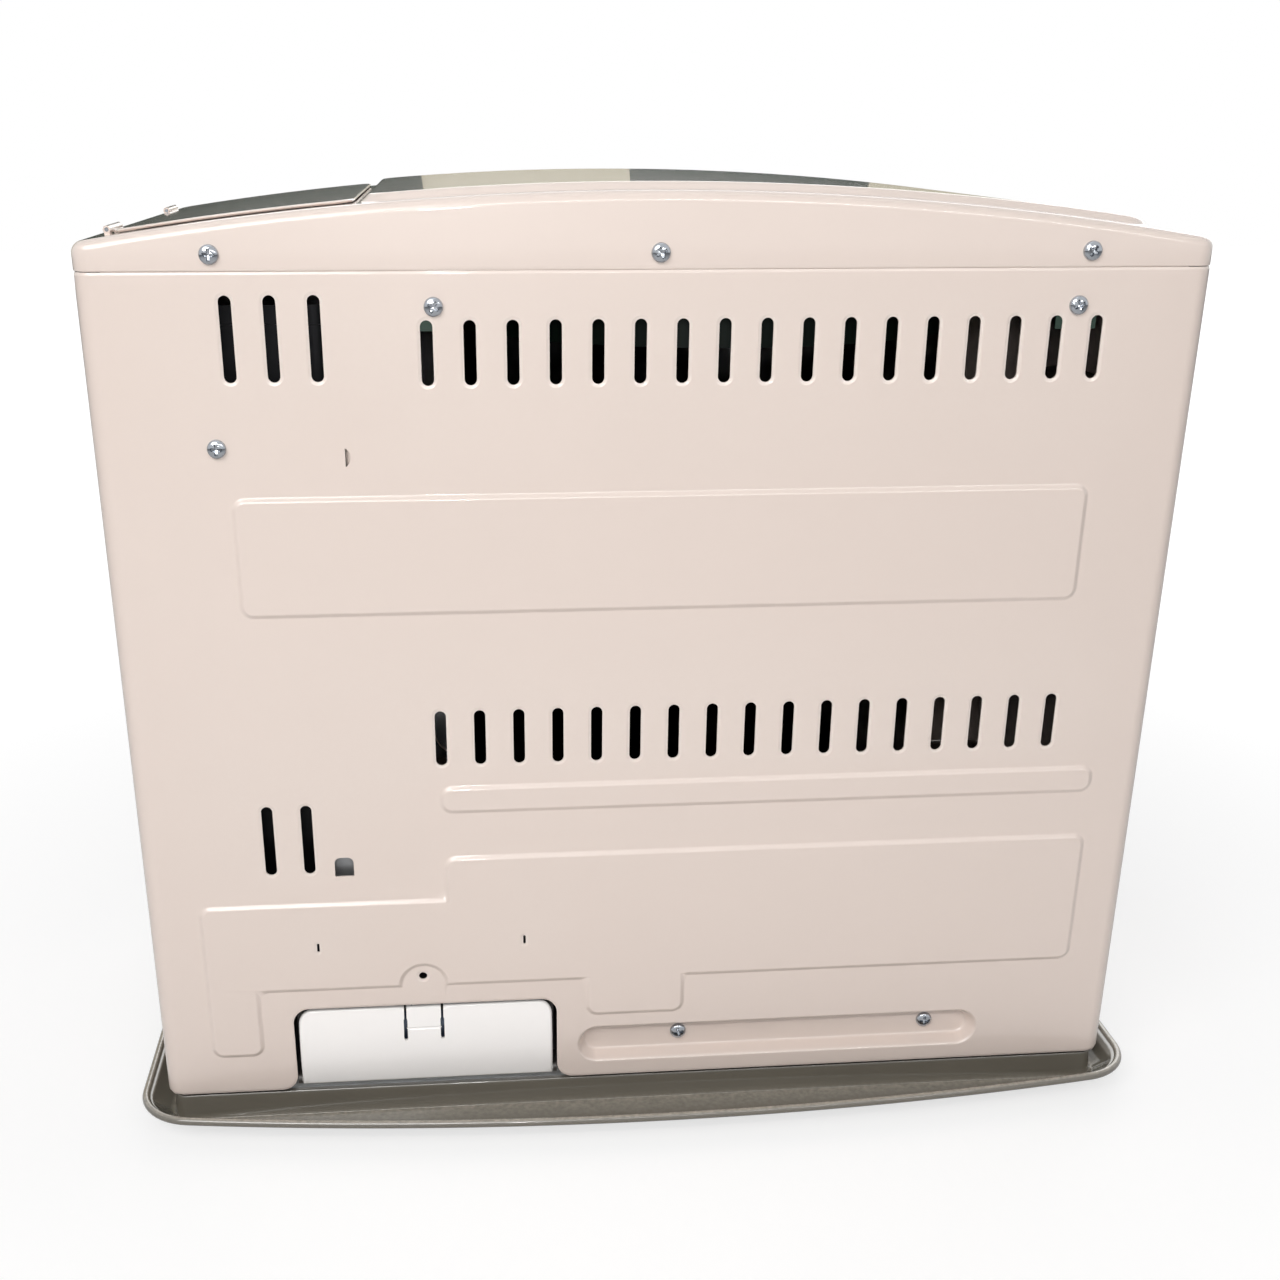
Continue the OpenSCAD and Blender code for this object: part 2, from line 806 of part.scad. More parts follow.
module control_panel() {
    d = flange_l + control_out;
    color([0.42, 0.38, 0.35])
        difference() {
            translate([0, 0, ground_gap])
                linear_extrude(control_h)
                    control_outline(0);
            translate([0, 0, ground_gap + control_t])
                linear_extrude(control_h - 2 * control_t)
                    control_outline(control_t);
            block([-side_x + control_t, control_y + control_lip, ground_gap - past],
                [side_x - control_t, control_y + d + past, control_z + past]);
            rod_y(shaft_x, shaft_z, control_y - past, control_y + 2 * control_t, shaft_r + 2);
            block([carriage_x - 5 - move_gap, control_y - past, lever_z - 3 - move_gap],
                [carriage_x + 5 + lever_travel + move_gap, control_y + 2 * control_t,
                    lever_z + 3 + move_gap]);
            rod_y(button_x, button_z, control_y - past, control_y + 2 * control_t, button_r + move_gap);
            rod_y(gauge_x, gauge_z, control_y - past, control_y + 2 * control_t, gauge_r + 0.2);
        }
}

module gauge_lens() {
    color([0.85, 0.9, 0.92, 0.5]) {
        rod_y(gauge_x, gauge_z, control_y - 1.2, control_y, gauge_r + 2);
        rod_y(gauge_x, gauge_z, control_y, control_y + control_t, gauge_r);
    }
}

module gauge_dial() {
    color([0.95, 0.95, 0.93]) {
        rod_y(gauge_x, gauge_z, control_y + control_t, control_y + control_t + 1.5, gauge_r + 4);
        rod_y(gauge_x, gauge_z, control_y + control_t + 1.5, control_y + control_t + 9, gauge_r - 3);
    }
}

module top_plate() {
    color([0.91, 0.86, 0.82])
        difference() {
            union() {
                intersection() {
                    along_y(front_y, rear_y)
                        arched(casing_w, crown_z, arch_r, shoulder_r, seam_z);
                    casing_prism(0, seam_z, crown_z + past);
                }
                hotplate_solid(0);
                for (y = lid_hinge_places, s = [-1, 1])
                    lid_ear(y, s);
            }
            intersection() {
                along_y(front_y, rear_y)
                    arched(casing_w - 2 * sheet_t, crown_z - sheet_t, arch_r - sheet_t,
                        shoulder_r - sheet_t, seam_z - past);
                casing_prism(sheet_t, seam_z - past, crown_z + past);
            }
            hotplate_solid(sheet_t);
            translate([tank_x, tank_y, seam_z])
                linear_extrude(crown_h + 10)
                    rounded(mouth_w, mouth_d, 16);
            for (x = top_screws_x)
                rod_y(x, top_screw_z, inner_rear - past, rear_y + past, shank_r + shank_gap);
            for (y = lid_hinge_places)
                rod_y(lid_hinge_x, lid_hinge_z, y - lid_pin_half - past, y + lid_pin_half + past,
                    lid_pin_r + run_gap / 2);
        }
}

// Raised field of the top, or its hollow when inset
module hotplate_solid(inset) {
    intersection() {
        along_y(hotplate_y0 + inset, hotplate_y1 - inset)
            translate([0, arch_z])
                circle(arch_r + hotplate_h - inset, $fn = arch_fn);
        translate([hotplate_x, mid_y, seam_z + 4])
            linear_extrude(crown_h + hotplate_h)
                rounded(hotplate_w - 2 * inset, hotplate_y1 - hotplate_y0 - 2 * inset, 14 - inset);
        if (inset == 0)
            along_y(front_y, rear_y)
                difference() {
                    translate([0, arch_z])
                        circle(arch_r + 2 * hotplate_h, $fn = arch_fn);
                    translate([0, arch_z])
                        circle(arch_r - sheet_t, $fn = arch_fn);
                }
    }
}

// Ear beside a lid barrel, its foot sunk into the top
module lid_ear(y, s) {
    y0 = y + s * (lid_barrel_l / 2 + move_gap + lid_ear_l / 2);
    rod_y(lid_hinge_x, lid_hinge_z, y0 - lid_ear_l / 2, y0 + lid_ear_l / 2, lid_barrel_r);
    block([lid_hinge_x - 1.2, y0 - lid_ear_l / 2, arch_top(lid_hinge_x) - sheet_t],
        [lid_hinge_x + 1.2, y0 + lid_ear_l / 2, lid_hinge_z]);
}

module lid_pins() {
    color([0.7, 0.72, 0.75])
        for (y = lid_hinge_places)
            rod_y(lid_hinge_x, lid_hinge_z, y - lid_pin_half, y + lid_pin_half, lid_pin_r);
}

module tank_lid() {
    x0 = tank_x - mouth_w / 2 - lid_lap;
    x1 = tank_x + mouth_w / 2 + lid_lap - 0.5;
    color([0.91, 0.86, 0.82])
        difference() {
            union() {
                intersection() {
                    along_y(lid_y0, lid_y1)
                        difference() {
                            translate([0, arch_z])
                                circle(arch_r + lid_gap + lid_t, $fn = arch_fn);
                            translate([0, arch_z])
                                circle(arch_r + lid_gap, $fn = arch_fn);
                        }
                    translate([(x0 + x1) / 2, tank_y, seam_z])
                        linear_extrude(crown_h + 20)
                            rounded(x1 - x0, lid_y1 - lid_y0, 8);
                }
                for (y = lid_hinge_places) {
                    rod_y(lid_hinge_x, lid_hinge_z, y - lid_barrel_l / 2, y + lid_barrel_l / 2, lid_barrel_r);
                    along_y(y - lid_barrel_l / 2, y + lid_barrel_l / 2)
                        intersection() {
                            difference() {
                                translate([0, arch_z])
                                    circle(arch_r + lid_gap + lid_t, $fn = arch_fn);
                                translate([0, arch_z])
                                    circle(arch_r + lid_gap, $fn = arch_fn);
                            }
                            translate([x1 - 4, seam_z])
                                square([lid_hinge_x - x1 + 4, crown_h]);
                        }
                }
            }
            for (y = lid_hinge_places)
                rod_y(lid_hinge_x, lid_hinge_z, y - lid_barrel_l, y + lid_barrel_l, lid_pin_r + run_gap);
        }
}

module top_screws() {
    color([0.75, 0.78, 0.82])
        for (x = top_screws_x)
            translate([x, rear_y, top_screw_z])
                pan_screw(6);
}

// Plan of the tray, bowed at front and back
module tray_plan(inset) {
    r_bow = tray_bow_r - inset;
    r = tray_corner_r - inset;
    for (s = [0, 1])
        mirror([0, s, 0])
            arched(tray_w - 2 * inset, tray_d / 2 - inset, r_bow, r, 0);
}

// Thin slab of the tray's plan
module tray_slab(inset, z, t) {
    translate([0, 0, z])
        linear_extrude(t)
            tray_plan(inset);
}

// Upright ring with the casing's plan, between two insets
module plan_ring(inset, width, z0, z1) {
    translate([0, mid_y, z0])
        linear_extrude(z1 - z0)
            difference() {
                rounded(casing_w - 2 * inset, casing_d - 2 * inset, corner_r);
                rounded(casing_w - 2 * inset - 2 * width, casing_d - 2 * inset - 2 * width, corner_r);
            }
}

module drip_tray() {
    color([0.5, 0.49, 0.44])
        difference() {
            union() {
                difference() {
                    union() {
                        hull() {
                            tray_slab(tray_bead + tray_slope, foot_h, 0.2);
                            tray_slab(tray_bead - tray_t, tray_h - tray_bead_h, 0.2);
                        }
                        tray_slab(0, tray_h - tray_bead_h, tray_bead_h);
                    }
                    hull() {
                        tray_slab(tray_bead + tray_t + tray_slope, tray_floor_z, 0.1);
                        tray_slab(tray_bead, tray_h - tray_bead_h + tray_t, 0.1);
                    }
                    tray_slab(tray_bead, tray_h - tray_bead_h + tray_t, tray_bead_h);
                }
                plan_ring(rib_inset, rib_w, foot_h, rib_top);
            }
            plan_ring(rib_inset + tray_t, rib_w - 2 * tray_t, foot_h - past, rib_top - tray_t);
            for (p = base_screw_places)
                translate([p[0], p[1], rib_top - tray_t - past])
                    cylinder(h = 2 * past + tray_t, r = shank_r + shank_gap);
        }
}

module tray_feet() {
    color([0.12, 0.12, 0.12])
        for (p = foot_places)
            translate([p[0], p[1], 0])
                cylinder(h = foot_h, r = foot_r);
}

// Pan that carries the works, its top reaching out to the side and back sheets
module base_pan() {
    w = casing_w - 2 * base_inset;
    d = casing_d - 2 * base_inset;
    color([0.6, 0.6, 0.6]) {
        difference() {
            union() {
                translate([0, mid_y, rib_top])
                    linear_extrude(base_z - rib_top)
                        rounded(w, d, corner_r);
                intersection() {
                    casing_prism(sheet_t + base_fit, base_z - base_t, base_z);
                    block([-side_x, front_y + flange_l + 1, ground_gap], [side_x, rear_y, base_z]);
                }
            }
            translate([0, mid_y, rib_top + base_t])
                linear_extrude(base_z - rib_top - 2 * base_t)
                    rounded(w - 2 * base_t, d - 2 * base_t, corner_r - base_t);
            translate([0, mid_y, rib_top - past])
                linear_extrude(base_t + 2 * past)
                    rounded(w - 2 * base_flange, d - 2 * base_flange, corner_r);
            translate([burner_x, burner_y, base_z - past - base_t])
                cylinder(h = base_t + 2 * past, r = 40);
            block([cutout_x - cutout_w / 2 - 2, case_rear, ground_gap],
                [cutout_x + cutout_w / 2 + 2, rear_y, base_z + past]);
            for (p = base_screw_places)
                translate([p[0], p[1], rib_top - past])
                    cylinder(h = base_z - rib_top + 2 * past, r = shank_r + shank_gap);
            for (p = base_screw_places)
                translate([p[0], p[1], rib_top + base_t])
                    cylinder(h = base_z - rib_top, r = head_r + 1);
        }
        difference() {
            block([channel_at[0] - 92, channel_floor_y - base_t, base_z - base_t],
                [channel_at[0] + 92, channel_floor_y, channel_at[1] + 14]);
            for (p = channel_screws)
                rod_y(p[0], p[1], channel_floor_y - 2 * base_t, channel_floor_y + past, shank_r + 0.05);
        }
    }
}

module base_screws() {
    color([0.75, 0.78, 0.82])
        for (p = base_screw_places)
            translate([p[0], p[1], rib_top + base_t])
                rotate([90, 0, 0])
                    pan_screw(base_t + tray_t);
}

// Wall between the burner room and the tank bay
module partition() {
    z1 = arch_top(partition_x) - 6;
    color([0.62, 0.63, 0.64]) {
        block([partition_x - sheet_t, control_y + control_lip + 0.5, reservoir_top],
            [partition_x, case_rear, z1]);
        block([partition_x - sheet_t, case_rear - past, cover_z + cover_h + 1],
            [partition_x, inner_rear - sheet_t - move_gap, z1]);
    }
}

// Floor plate of the tank bay, its skirt standing on the fuel reservoir
module bay_floor() {
    w = tank_w + 22;
    d = tank_d + 9;
    color([0.66, 0.67, 0.68])
        difference() {
            translate([tank_x, tank_y, reservoir_top])
                linear_extrude(bay_h)
                    rounded(w, d, bay_r);
            translate([tank_x, tank_y, reservoir_top - past])
                linear_extrude(bay_h + past - bay_t)
                    rounded(w - 2 * bay_t, d - 2 * bay_t, bay_r - bay_t);
            translate([tank_x, cap_y, reservoir_top])
                cylinder(h = bay_h + past, r = cap_r + bay_r);
        }
}

// Bracket that ties the tank bay to the back panel
module tank_bracket() {
    z0 = reservoir_top + bay_h;
    y0 = tank_y + tank_d / 2 + move_gap + 0.4;
    x0 = tank_x - tank_w / 2 + bay_t + 0.8;
    x1 = tank_screw[0] + bay_r + 0.2;
    color([0.6, 0.61, 0.62])
        difference() {
            union() {
                block([x0, y0, z0], [x1, inner_rear, z0 + bay_t]);
                block([x1 - 12.5, inner_rear - bay_t, z0], [x1, inner_rear, tank_screw[1] + 10]);
                block([x0, inner_rear - 7, z0],
                    [x0 + 21, inner_rear - 7 + bay_t, ground_gap + tank_lower_h + 3.7]);
            }
            rod_y(tank_screw[0], tank_screw[1], inner_rear - 3, inner_rear + past, shank_r + 0.05);
        }
}

module fuel_reservoir() {
    w = reservoir_x1 - reservoir_x0;
    d = reservoir_y1 - reservoir_y0;
    color([0.68, 0.66, 0.6])
        difference() {
            translate([reservoir_x0 + w / 2, reservoir_y0 + d / 2, reservoir_z])
                linear_extrude(reservoir_h)
                    rounded(w, d, 12);
            translate([reservoir_x0 + w / 2, reservoir_y0 + d / 2, reservoir_z + reservoir_t])
                linear_extrude(reservoir_h - 2 * reservoir_t)
                    rounded(w - 2 * reservoir_t, d - 2 * reservoir_t, 12 - reservoir_t);
            translate([burner_x, burner_y, reservoir_z + reservoir_h / 2])
                cylinder(h = reservoir_h, r = wick_well_r);
            translate([burner_x, burner_y, reservoir_z - past])
                cylinder(h = reservoir_h / 2, r = air_tube_r, $fn = 96);
            translate([tank_x, cap_y, reservoir_z + reservoir_h / 2])
                cylinder(h = reservoir_h, r = strainer_r);
        }
}

module reservoir_rails() {
    color([0.6, 0.6, 0.6])
        for (x = [reservoir_x0 + 19, reservoir_x1 - 19])
            difference() {
                block([x - 9, reservoir_y0 + 8, base_z], [x + 9, reservoir_y1 - 8, reservoir_z]);
                block([x - 9 + base_t, reservoir_y0, base_z + base_t],
                    [x + 9 - base_t, reservoir_y1, reservoir_z - base_t]);
            }
}

module fuel_strainer() {
    depth = 24;
    color([0.72, 0.72, 0.7])
        translate([tank_x, cap_y, 0]) {
            tube(strainer_r + 4, strainer_r - 0.8, reservoir_top, reservoir_top + 0.8);
            tube(strainer_r, strainer_r - 0.8, reservoir_top - depth, reservoir_top + 0.4);
            tube(strainer_r, 3, reservoir_top - depth, reservoir_top - depth + 0.8);
        }
}

// Housing that stands on the reservoir and guides the wick
module burner_base() {
    color([0.55, 0.55, 0.56])
        difference() {
            union() {
                difference() {
                    block([burner_x - burner_left, burner_y - burner_half, reservoir_top],
                        [burner_x + burner_right, burner_y + burner_half, burner_top]);
                    block([burner_x - burner_left + burner_t, burner_y - burner_half + burner_t,
                            reservoir_top - past],
                        [burner_x + burner_right - burner_t, burner_y + burner_half - burner_t,
                            burner_top - burner_t]);
                }
                translate([burner_x, burner_y, burner_top - burner_t])
                    cylinder(h = burner_t, r = collar_r + 1.8, $fn = 96);
                translate([burner_x, burner_y, 0]) {
                    tube(guide_r + burner_t, guide_r, burner_top - burner_t, guide_top);
                    tube(collar_r, collar_r - burner_t, burner_top - burner_t, collar_top);
                }
            }
            translate([burner_x, burner_y, burner_top - 2 * burner_t])
                cylinder(h = guide_top, r = guide_r, $fn = 96);
            block([burner_x - collar_r - 3, burner_y - 11, burner_top],
                [burner_x - collar_r + 6, burner_y + 11, collar_top + past]);
            rod_y(shaft_x, shaft_z, burner_y - burner_half - past,
                burner_y - burner_half + 2 * burner_t, bush_r);
        }
}

module shaft_bush() {
    color([0.8, 0.65, 0.35])
        difference() {
            rod_y(shaft_x, shaft_z, burner_y - burner_half - 4, burner_y - burner_half + 5, bush_r);
            rod_y(shaft_x, shaft_z, burner_y - burner_half - 4 - past,
                burner_y - burner_half + 5 + past, shaft_r + run_gap);
        }
}

// Centre tube that leads air to the inside of the wick
module air_tube() {
    color([0.62, 0.62, 0.62])
        translate([burner_x, burner_y, 0])
            tube(air_tube_r, air_tube_r - air_tube_t, reservoir_z, spreader_z);
}

module flame_spreader() {
    color([0.5, 0.48, 0.46])
        translate([burner_x, burner_y, 0]) {
            tube(air_tube_r, inner_tube_r - 4, spreader_z, spreader_z + 1.2);
            tube(inner_tube_r, inner_tube_r - 1, spreader_z + 1.2, spreader_top - 1.2);
            translate([0, 0, spreader_top - 1.2])
                cylinder(h = 1.2, r = inner_tube_r + 3);
        }
}

module wick() {
    color([0.93, 0.92, 0.88])
        translate([burner_x, burner_y, 0])
            tube(wick_r, wick_r - wick_t, wick_z, wick_z + wick_h);
}

// Tooth of the rack or of the pinion as a flat outline, its pitch point at the origin
module tooth(root, tip, slope) {
    polygon([[-root, tooth_w / 2 + root * slope], [tip, tooth_w / 2 - tip * slope],
        [tip, -tooth_w / 2 + tip * slope], [-root, -tooth_w / 2 - root * slope]]);
}

module wick_carrier() {
    rack_z = [reservoir_top - 6, shaft_z + 10];
    reach = floor((rack_z[1] - shaft_z) / pinion_pitch);
    color([0.7, 0.7, 0.68]) {
        translate([burner_x, burner_y, 0])
            tube(carrier_r, carrier_r - carrier_t, wick_z + 10, wick_z + 54);
        block([burner_x + carrier_r - 0.8, burner_y - 4, rack_z[0]], [rack_x - 1, burner_y + 4, rack_z[1]]);
        along_y(burner_y - 4, burner_y + 4)
            for (k = [-reach - 1 : reach - 1])
                translate([rack_x, shaft_z + (k + 0.5) * pinion_pitch])
                    tooth(1.1, 0.8, 0.36);
    }
}

module wick_shaft() {
    color([0.75, 0.76, 0.78]) {
        rod_y(shaft_x, shaft_z, control_y - 10, burner_y + 8, shaft_r);
        along_y(burner_y - 3, burner_y + 3)
            translate([shaft_x, shaft_z])
                for (k = [0 : pinion_teeth - 1])
                    rotate(180 + k * 360 / pinion_teeth)
                        translate([pinion_r, 0])
                            tooth(2, 0.7, 0.3);
    }
}

module wick_knob() {
    y1 = control_y - move_gap;
    color([0.2, 0.19, 0.18])
        difference() {
            union() {
                rod_y(shaft_x, shaft_z, y1 - 4, y1, knob_r);
                translate([shaft_x, y1 - 4, shaft_z])
                    rotate([90, 0, 0])
                        cylinder(h = knob_l - 4, r1 = knob_r - 2, r2 = knob_r - 4);
            }
            rod_y(shaft_x, shaft_z, control_y - 10, control_y, shaft_r + 0.05);
            for (a = [0 : 20 : 340])
                rotate_about_shaft(a)
                    rod_y(shaft_x + knob_r - 2.2, shaft_z, y1 - knob_l - past, y1 - 5, 1.4);
        }
}

// Turn about the wick shaft
module rotate_about_shaft(a) {
    translate([shaft_x, 0, shaft_z])
        rotate([0, a, 0])
            translate([-shaft_x, 0, -shaft_z])
                children();
}

module burner_deck() {
    color([0.72, 0.72, 0.72]) {
        difference() {
            block([deck_left, inner_front + 0.3, control_z], [deck_right, deck_rear, deck_z]);
            translate([burner_x, burner_y, control_z - past])
                cylinder(h = deck_t + 2 * past, r = glass_r + 6, $fn = 96);
            block([carriage_x - 4, burner_y - 6, control_z - past],
                [burner_x - glass_r, burner_y + 10, deck_z + past]);
        }
        block([deck_left, reservoir_y0, base_z], [deck_left + deck_t, deck_rear, deck_z]);
        block([deck_right - deck_t, reservoir_y0, reservoir_top], [deck_right, reservoir_y1, deck_z]);
    }
}

// Plan of the reflector
module reflector_plan(r) {
    translate([burner_x, reflector_y]) {
        circle(r, $fn = 180);
        translate([-r, cheek_front - reflector_y])
            square([2 * r, reflector_y - cheek_front]);
    }
}

// Sheet that follows the reflector's plan
module reflector_wall(r_in, r_out, z0, z1) {
    translate([0, 0, z0])
        linear_extrude(z1 - z0)
            intersection() {
                difference() {
                    reflector_plan(r_out);
                    reflector_plan(r_in);
                }
                translate([burner_x - r_out, cheek_front])
                    square([2 * r_out, reflector_y + r_out - front_y]);
            }
}

module reflector() {
    color([0.86, 0.87, 0.88]) {
        reflector_wall(reflector_r, reflector_r + reflector_t, deck_z, reflector_top);
        reflector_wall(reflector_r, reflector_r + 4, reflector_top - reflector_t, reflector_top);
        for (s = [-1, 1]) {
            x = burner_x + s * reflector_r;
            fold = s * reflector_t;
            tip = s * reflector_flange;
            block([x + min(0, fold), cheek_front - reflector_t, deck_z],
                [x + max(0, fold), cheek_front + reflector_t, reflector_top]);
            block([x + min(0, tip), cheek_front - reflector_t, deck_z],
                [x + max(0, tip), cheek_front, window_top + 3]);
        }
    }
}

module heat_shield() {
    z1 = upper_screws[0][1] + shank_r + sheet_t + 0.9;
    h = z1 - reflector_top;
    color([0.16, 0.26, 0.23]) {
        difference() {
            translate([0, 0, reflector_top])
                linear_extrude(h)
                    intersection() {
                        reflector_plan(reflector_r + reflector_t);
                        translate([burner_x - 2 * reflector_r, cheek_front])
                            square(4 * reflector_r);
                    }
            translate([0, 0, reflector_top - past])
                linear_extrude(h + past - sheet_t)
                    union() {
                        reflector_plan(reflector_r);
                        translate([burner_x - reflector_r, front_y])
                            square([2 * reflector_r, 10]);
                    }
        }
        for (p = upper_screws)
            difference() {
                union() {
                    block([p[0] - 9, reflector_y, z1 - sheet_t], [p[0] + 9, inner_rear, z1]);
                    block([p[0] - 9, inner_rear - sheet_t, p[1] - 10], [p[0] + 9, inner_rear, z1]);
                }
                rod_y(p[0], p[1], inner_rear - 3, inner_rear + past, shank_r + 0.05);
            }
    }
}

module chimney_base() {
    color([0.6, 0.6, 0.6])
        translate([burner_x, burner_y, 0]) {
            tube(chimney_flange_r, guide_r + 2, chimney_z, glass_z);
            tube(chimney_flange_r, glass_r + 0.3, chimney_z, glass_z + 8);
        }
}

module chimney_glass() {
    color([0.9, 0.95, 0.95, 0.35])
        translate([burner_x, burner_y, 0])
            tube(glass_r, glass_r - glass_t, glass_z, glass_top);
}

module flame_tube(r, z0, z1) {
    difference() {
        translate([burner_x, burner_y, 0])
            tube(r, r - flame_t, z0, z1);
        flame_pins(pin_r + 0.05, outer_tube_r + past);
    }
}

module flame_pins(r, reach) {
    for (z = pin_heights) {
        rod_x(burner_y, z, burner_x - reach, burner_x + reach, r);
        rod_y(burner_x, z + 3.6, burner_y - reach, burner_y + reach, r);
    }
}

module outer_flame_tube() {
    color([0.5, 0.45, 0.42])
        flame_tube(outer_tube_r, glass_z, glass_top - 12);
}

module inner_flame_tube() {
    color([0.5, 0.45, 0.42])
        flame_tube(inner_tube_r, spreader_top + 0.5, glass_top - 24);
}

module flame_tube_pins() {
    color([0.6, 0.58, 0.56])
        flame_pins(pin_r, outer_tube_r);
}

module chimney_cap() {
    color([0.62, 0.6, 0.58])
        translate([burner_x, burner_y, 0]) {
            tube(glass_r + 1.5, outer_tube_r - 12, glass_top, glass_top + 1.2);
            tube(glass_r + 1.5, glass_r + 0.3, glass_top - 6, glass_top + 1.2);
        }
}

module chimney_knob() {
    y1 = burner_y - chimney_flange_r;
    color([0.2, 0.19, 0.18]) {
        rod_y(burner_x, glass_z + 4, y1 - 14, y1, 2);
        translate([burner_x, y1 - 16, glass_z + 4])
            sphere(r = 5);
    }
}

// Rod that carries the igniter's carriage
module igniter_rail() {
    x0 = reservoir_x0 + 1;
    color([0.7, 0.7, 0.72]) {
        block([x0, carriage_y - 6, reservoir_top], [x0 + 3, carriage_y + 6, rail_z + 6]);
        rod_x(carriage_y, rail_z, x0 + 1, burner_x - burner_left, rail_r);
    }
}

module igniter_carriage() {
    x = carriage_x;
    top = coil_z - 6;
    color([0.78, 0.78, 0.76])
        difference() {
            union() {
                block([x - 7, carriage_y - 5, rail_z - 5], [x + 7, carriage_y + 5, rail_z + 5]);
                block([x + 1, carriage_y, rail_z + 4], [x + 5, burner_y + 2, rail_z + 8]);
                block([x + 1, burner_y - 2, rail_z + 4], [x + 5, burner_y + 2, top]);
                block([x + 1, burner_y - 3, top - 4], [x + 14, burner_y + 3, top]);
                block([x - 3, control_y - 8, lever_z - 2], [x + 3, carriage_y, lever_z + 2]);
            }
            rod_x(carriage_y, rail_z, x - 8, x + 8, rail_r + run_gap);
        }
}

module igniter_coil() {
    x = carriage_x + 12;
    tip = burner_x - coil_reach;
    post_r = 0.8;
    color([0.8, 0.75, 0.7]) {
        for (s = [-1, 1]) {
            translate([x, burner_y + s * 2, coil_z - 6])
                cylinder(h = 7, r = post_r, $fn = 24);
            rod_x(burner_y + s * 2, coil_z, x, tip, 0.55);
        }
        rod_y(tip, coil_z, burner_y - 3, burner_y + 3, post_r);
    }
}

module ignition_knob() {
    x = carriage_x;
    y1 = control_y - 0.8;
    color([0.2, 0.19, 0.18])
        difference() {
            along_y(y1 - 13, y1)
                translate([x, lever_z])
                    rounded(14, 24, 4);
            block([x - 3, control_y - 8, lever_z - 2], [x + 3, control_y + past, lever_z + 2]);
        }
}

module extinguish_button() {
    color([0.75, 0.2, 0.15]) {
        rod_y(button_x, button_z, control_y - button_travel - 2, control_y + control_t + 0.4, button_r);
        rod_y(button_x, button_z, control_y + control_t + 0.4, control_y + control_t + 2, button_r + 2);
        rod_y(button_x, button_z, control_y + control_t + 2, control_y + control_t + 9, 3);
    }
}

module battery_case() {
    x0 = cutout_x - case_w / 2;
    x1 = cutout_x + case_w / 2;
    y0 = case_rear - case_d;
    ear = cover_w / 2 + 0.35 + case_t;
    color([0.2, 0.2, 0.2])
        difference() {
            union() {
                block([x0, y0, base_z], [x1, case_rear, case_top]);
                for (x = [cutout_x - ear, cutout_x + ear - case_t]) {
                    block([x, case_rear - 8, base_z + 0.4], [x + case_t, cover_pin_y, base_z + 5.6]);
                    rod_x(cover_pin_y, cover_pin_z, x, x + case_t, 2.6);
                }
            }
            block([x0 + case_t, y0 + case_t, base_z + case_t],
                [x1 - case_t, case_rear + 8, case_top - case_t]);
            rod_x(cover_pin_y, cover_pin_z, x0 - 3, x1 + 3, cover_pin_r + run_gap);
        }
}

// Bowed section of the battery cover in y-z
module cover_section() {
    translate([cover_apex - cover_bow_r, ground_gap + 18])
        difference() {
            circle(cover_bow_r, $fn = 180);
            circle(cover_bow_r - cover_t, $fn = 180);
        }
}

module battery_cover() {
    x0 = cutout_x - cover_w / 2;
    x1 = cutout_x + cover_w / 2;
    z1 = cover_z + cover_h;
    cheek_y = cover_pin_y - 1.9;
    color([0.96, 0.95, 0.94])
        difference() {
            union() {
                intersection() {
                    along_x(x0, x1)
                        cover_section();
                    along_y(rear_y - 12, rear_y + 8)
                        translate([cutout_x, cover_z]) {
                            translate([0, cover_h / 2])
                                rounded(cover_w, cover_h, 7);
                            translate([-cover_w / 2, 0])
                                square([cover_w, cover_h / 2]);
                        }
                }
                for (x = [x0, x1 - cover_t])
                    intersection() {
                        block([x, cheek_y, cover_z], [x + cover_t, rear_y + 2, z1 - 8]);
                        along_x(x0, x1)
                            translate([cover_apex - cover_bow_r, ground_gap + 18])
                                circle(cover_bow_r - cover_t / 2, $fn = 180);
                    }
                rod_x(cover_pin_y, cover_pin_z, x0 - cover_gap + 1.2, x0 + cover_t, cover_pin_r);
                rod_x(cover_pin_y, cover_pin_z, x1 - cover_t, x1 + cover_gap - 1.2, cover_pin_r);
            }
            for (s = [-1, 1])
                block([cutout_x + s * tab_w / 2 - tab_slit / 2 + 1.2, rear_y - 12, z1 - tab_h],
                    [cutout_x + s * tab_w / 2 + tab_slit / 2 + 1.2, rear_y + 8, z1 + past]);
        }
}

// Middle of a row of dry cells
function row_y(row) = case_rear - case_d + case_t + 0.3 + cell_d / 2 + row * (cell_d + 0.3);

// Four dry cells lying in two rows
module batteries() {
    cell_gap = 0.2;
    nub_l = 1.5;
    z = base_z + case_t + cell_d / 2;
    color([0.25, 0.3, 0.38])
        for (k = [0, 1], row = [0, 1]) {
            x = cutout_x + (k - 1) * cell_l + (k - 0.5) * cell_gap;
            rod_x(row_y(row), z, x, x + cell_l - nub_l, cell_d / 2);
            rod_x(row_y(row), z, x + cell_l - nub_l, x + cell_l, 4.7);
        }
}

module battery_contacts() {
    x0 = cutout_x - case_w / 2 + case_t;
    x1 = cutout_x + case_w / 2 - case_t;
    z = base_z + case_t + cell_d / 2;
    color([0.8, 0.8, 0.75])
        for (row = [0, 1]) {
            y = row_y(row);
            block([x0, y - 9, z - 9], [x0 + 0.5, y + 9, z + 9]);
            block([x1 - 0.5, y - 9, z - 9], [x1, y + 9, z + 9]);
        }
}

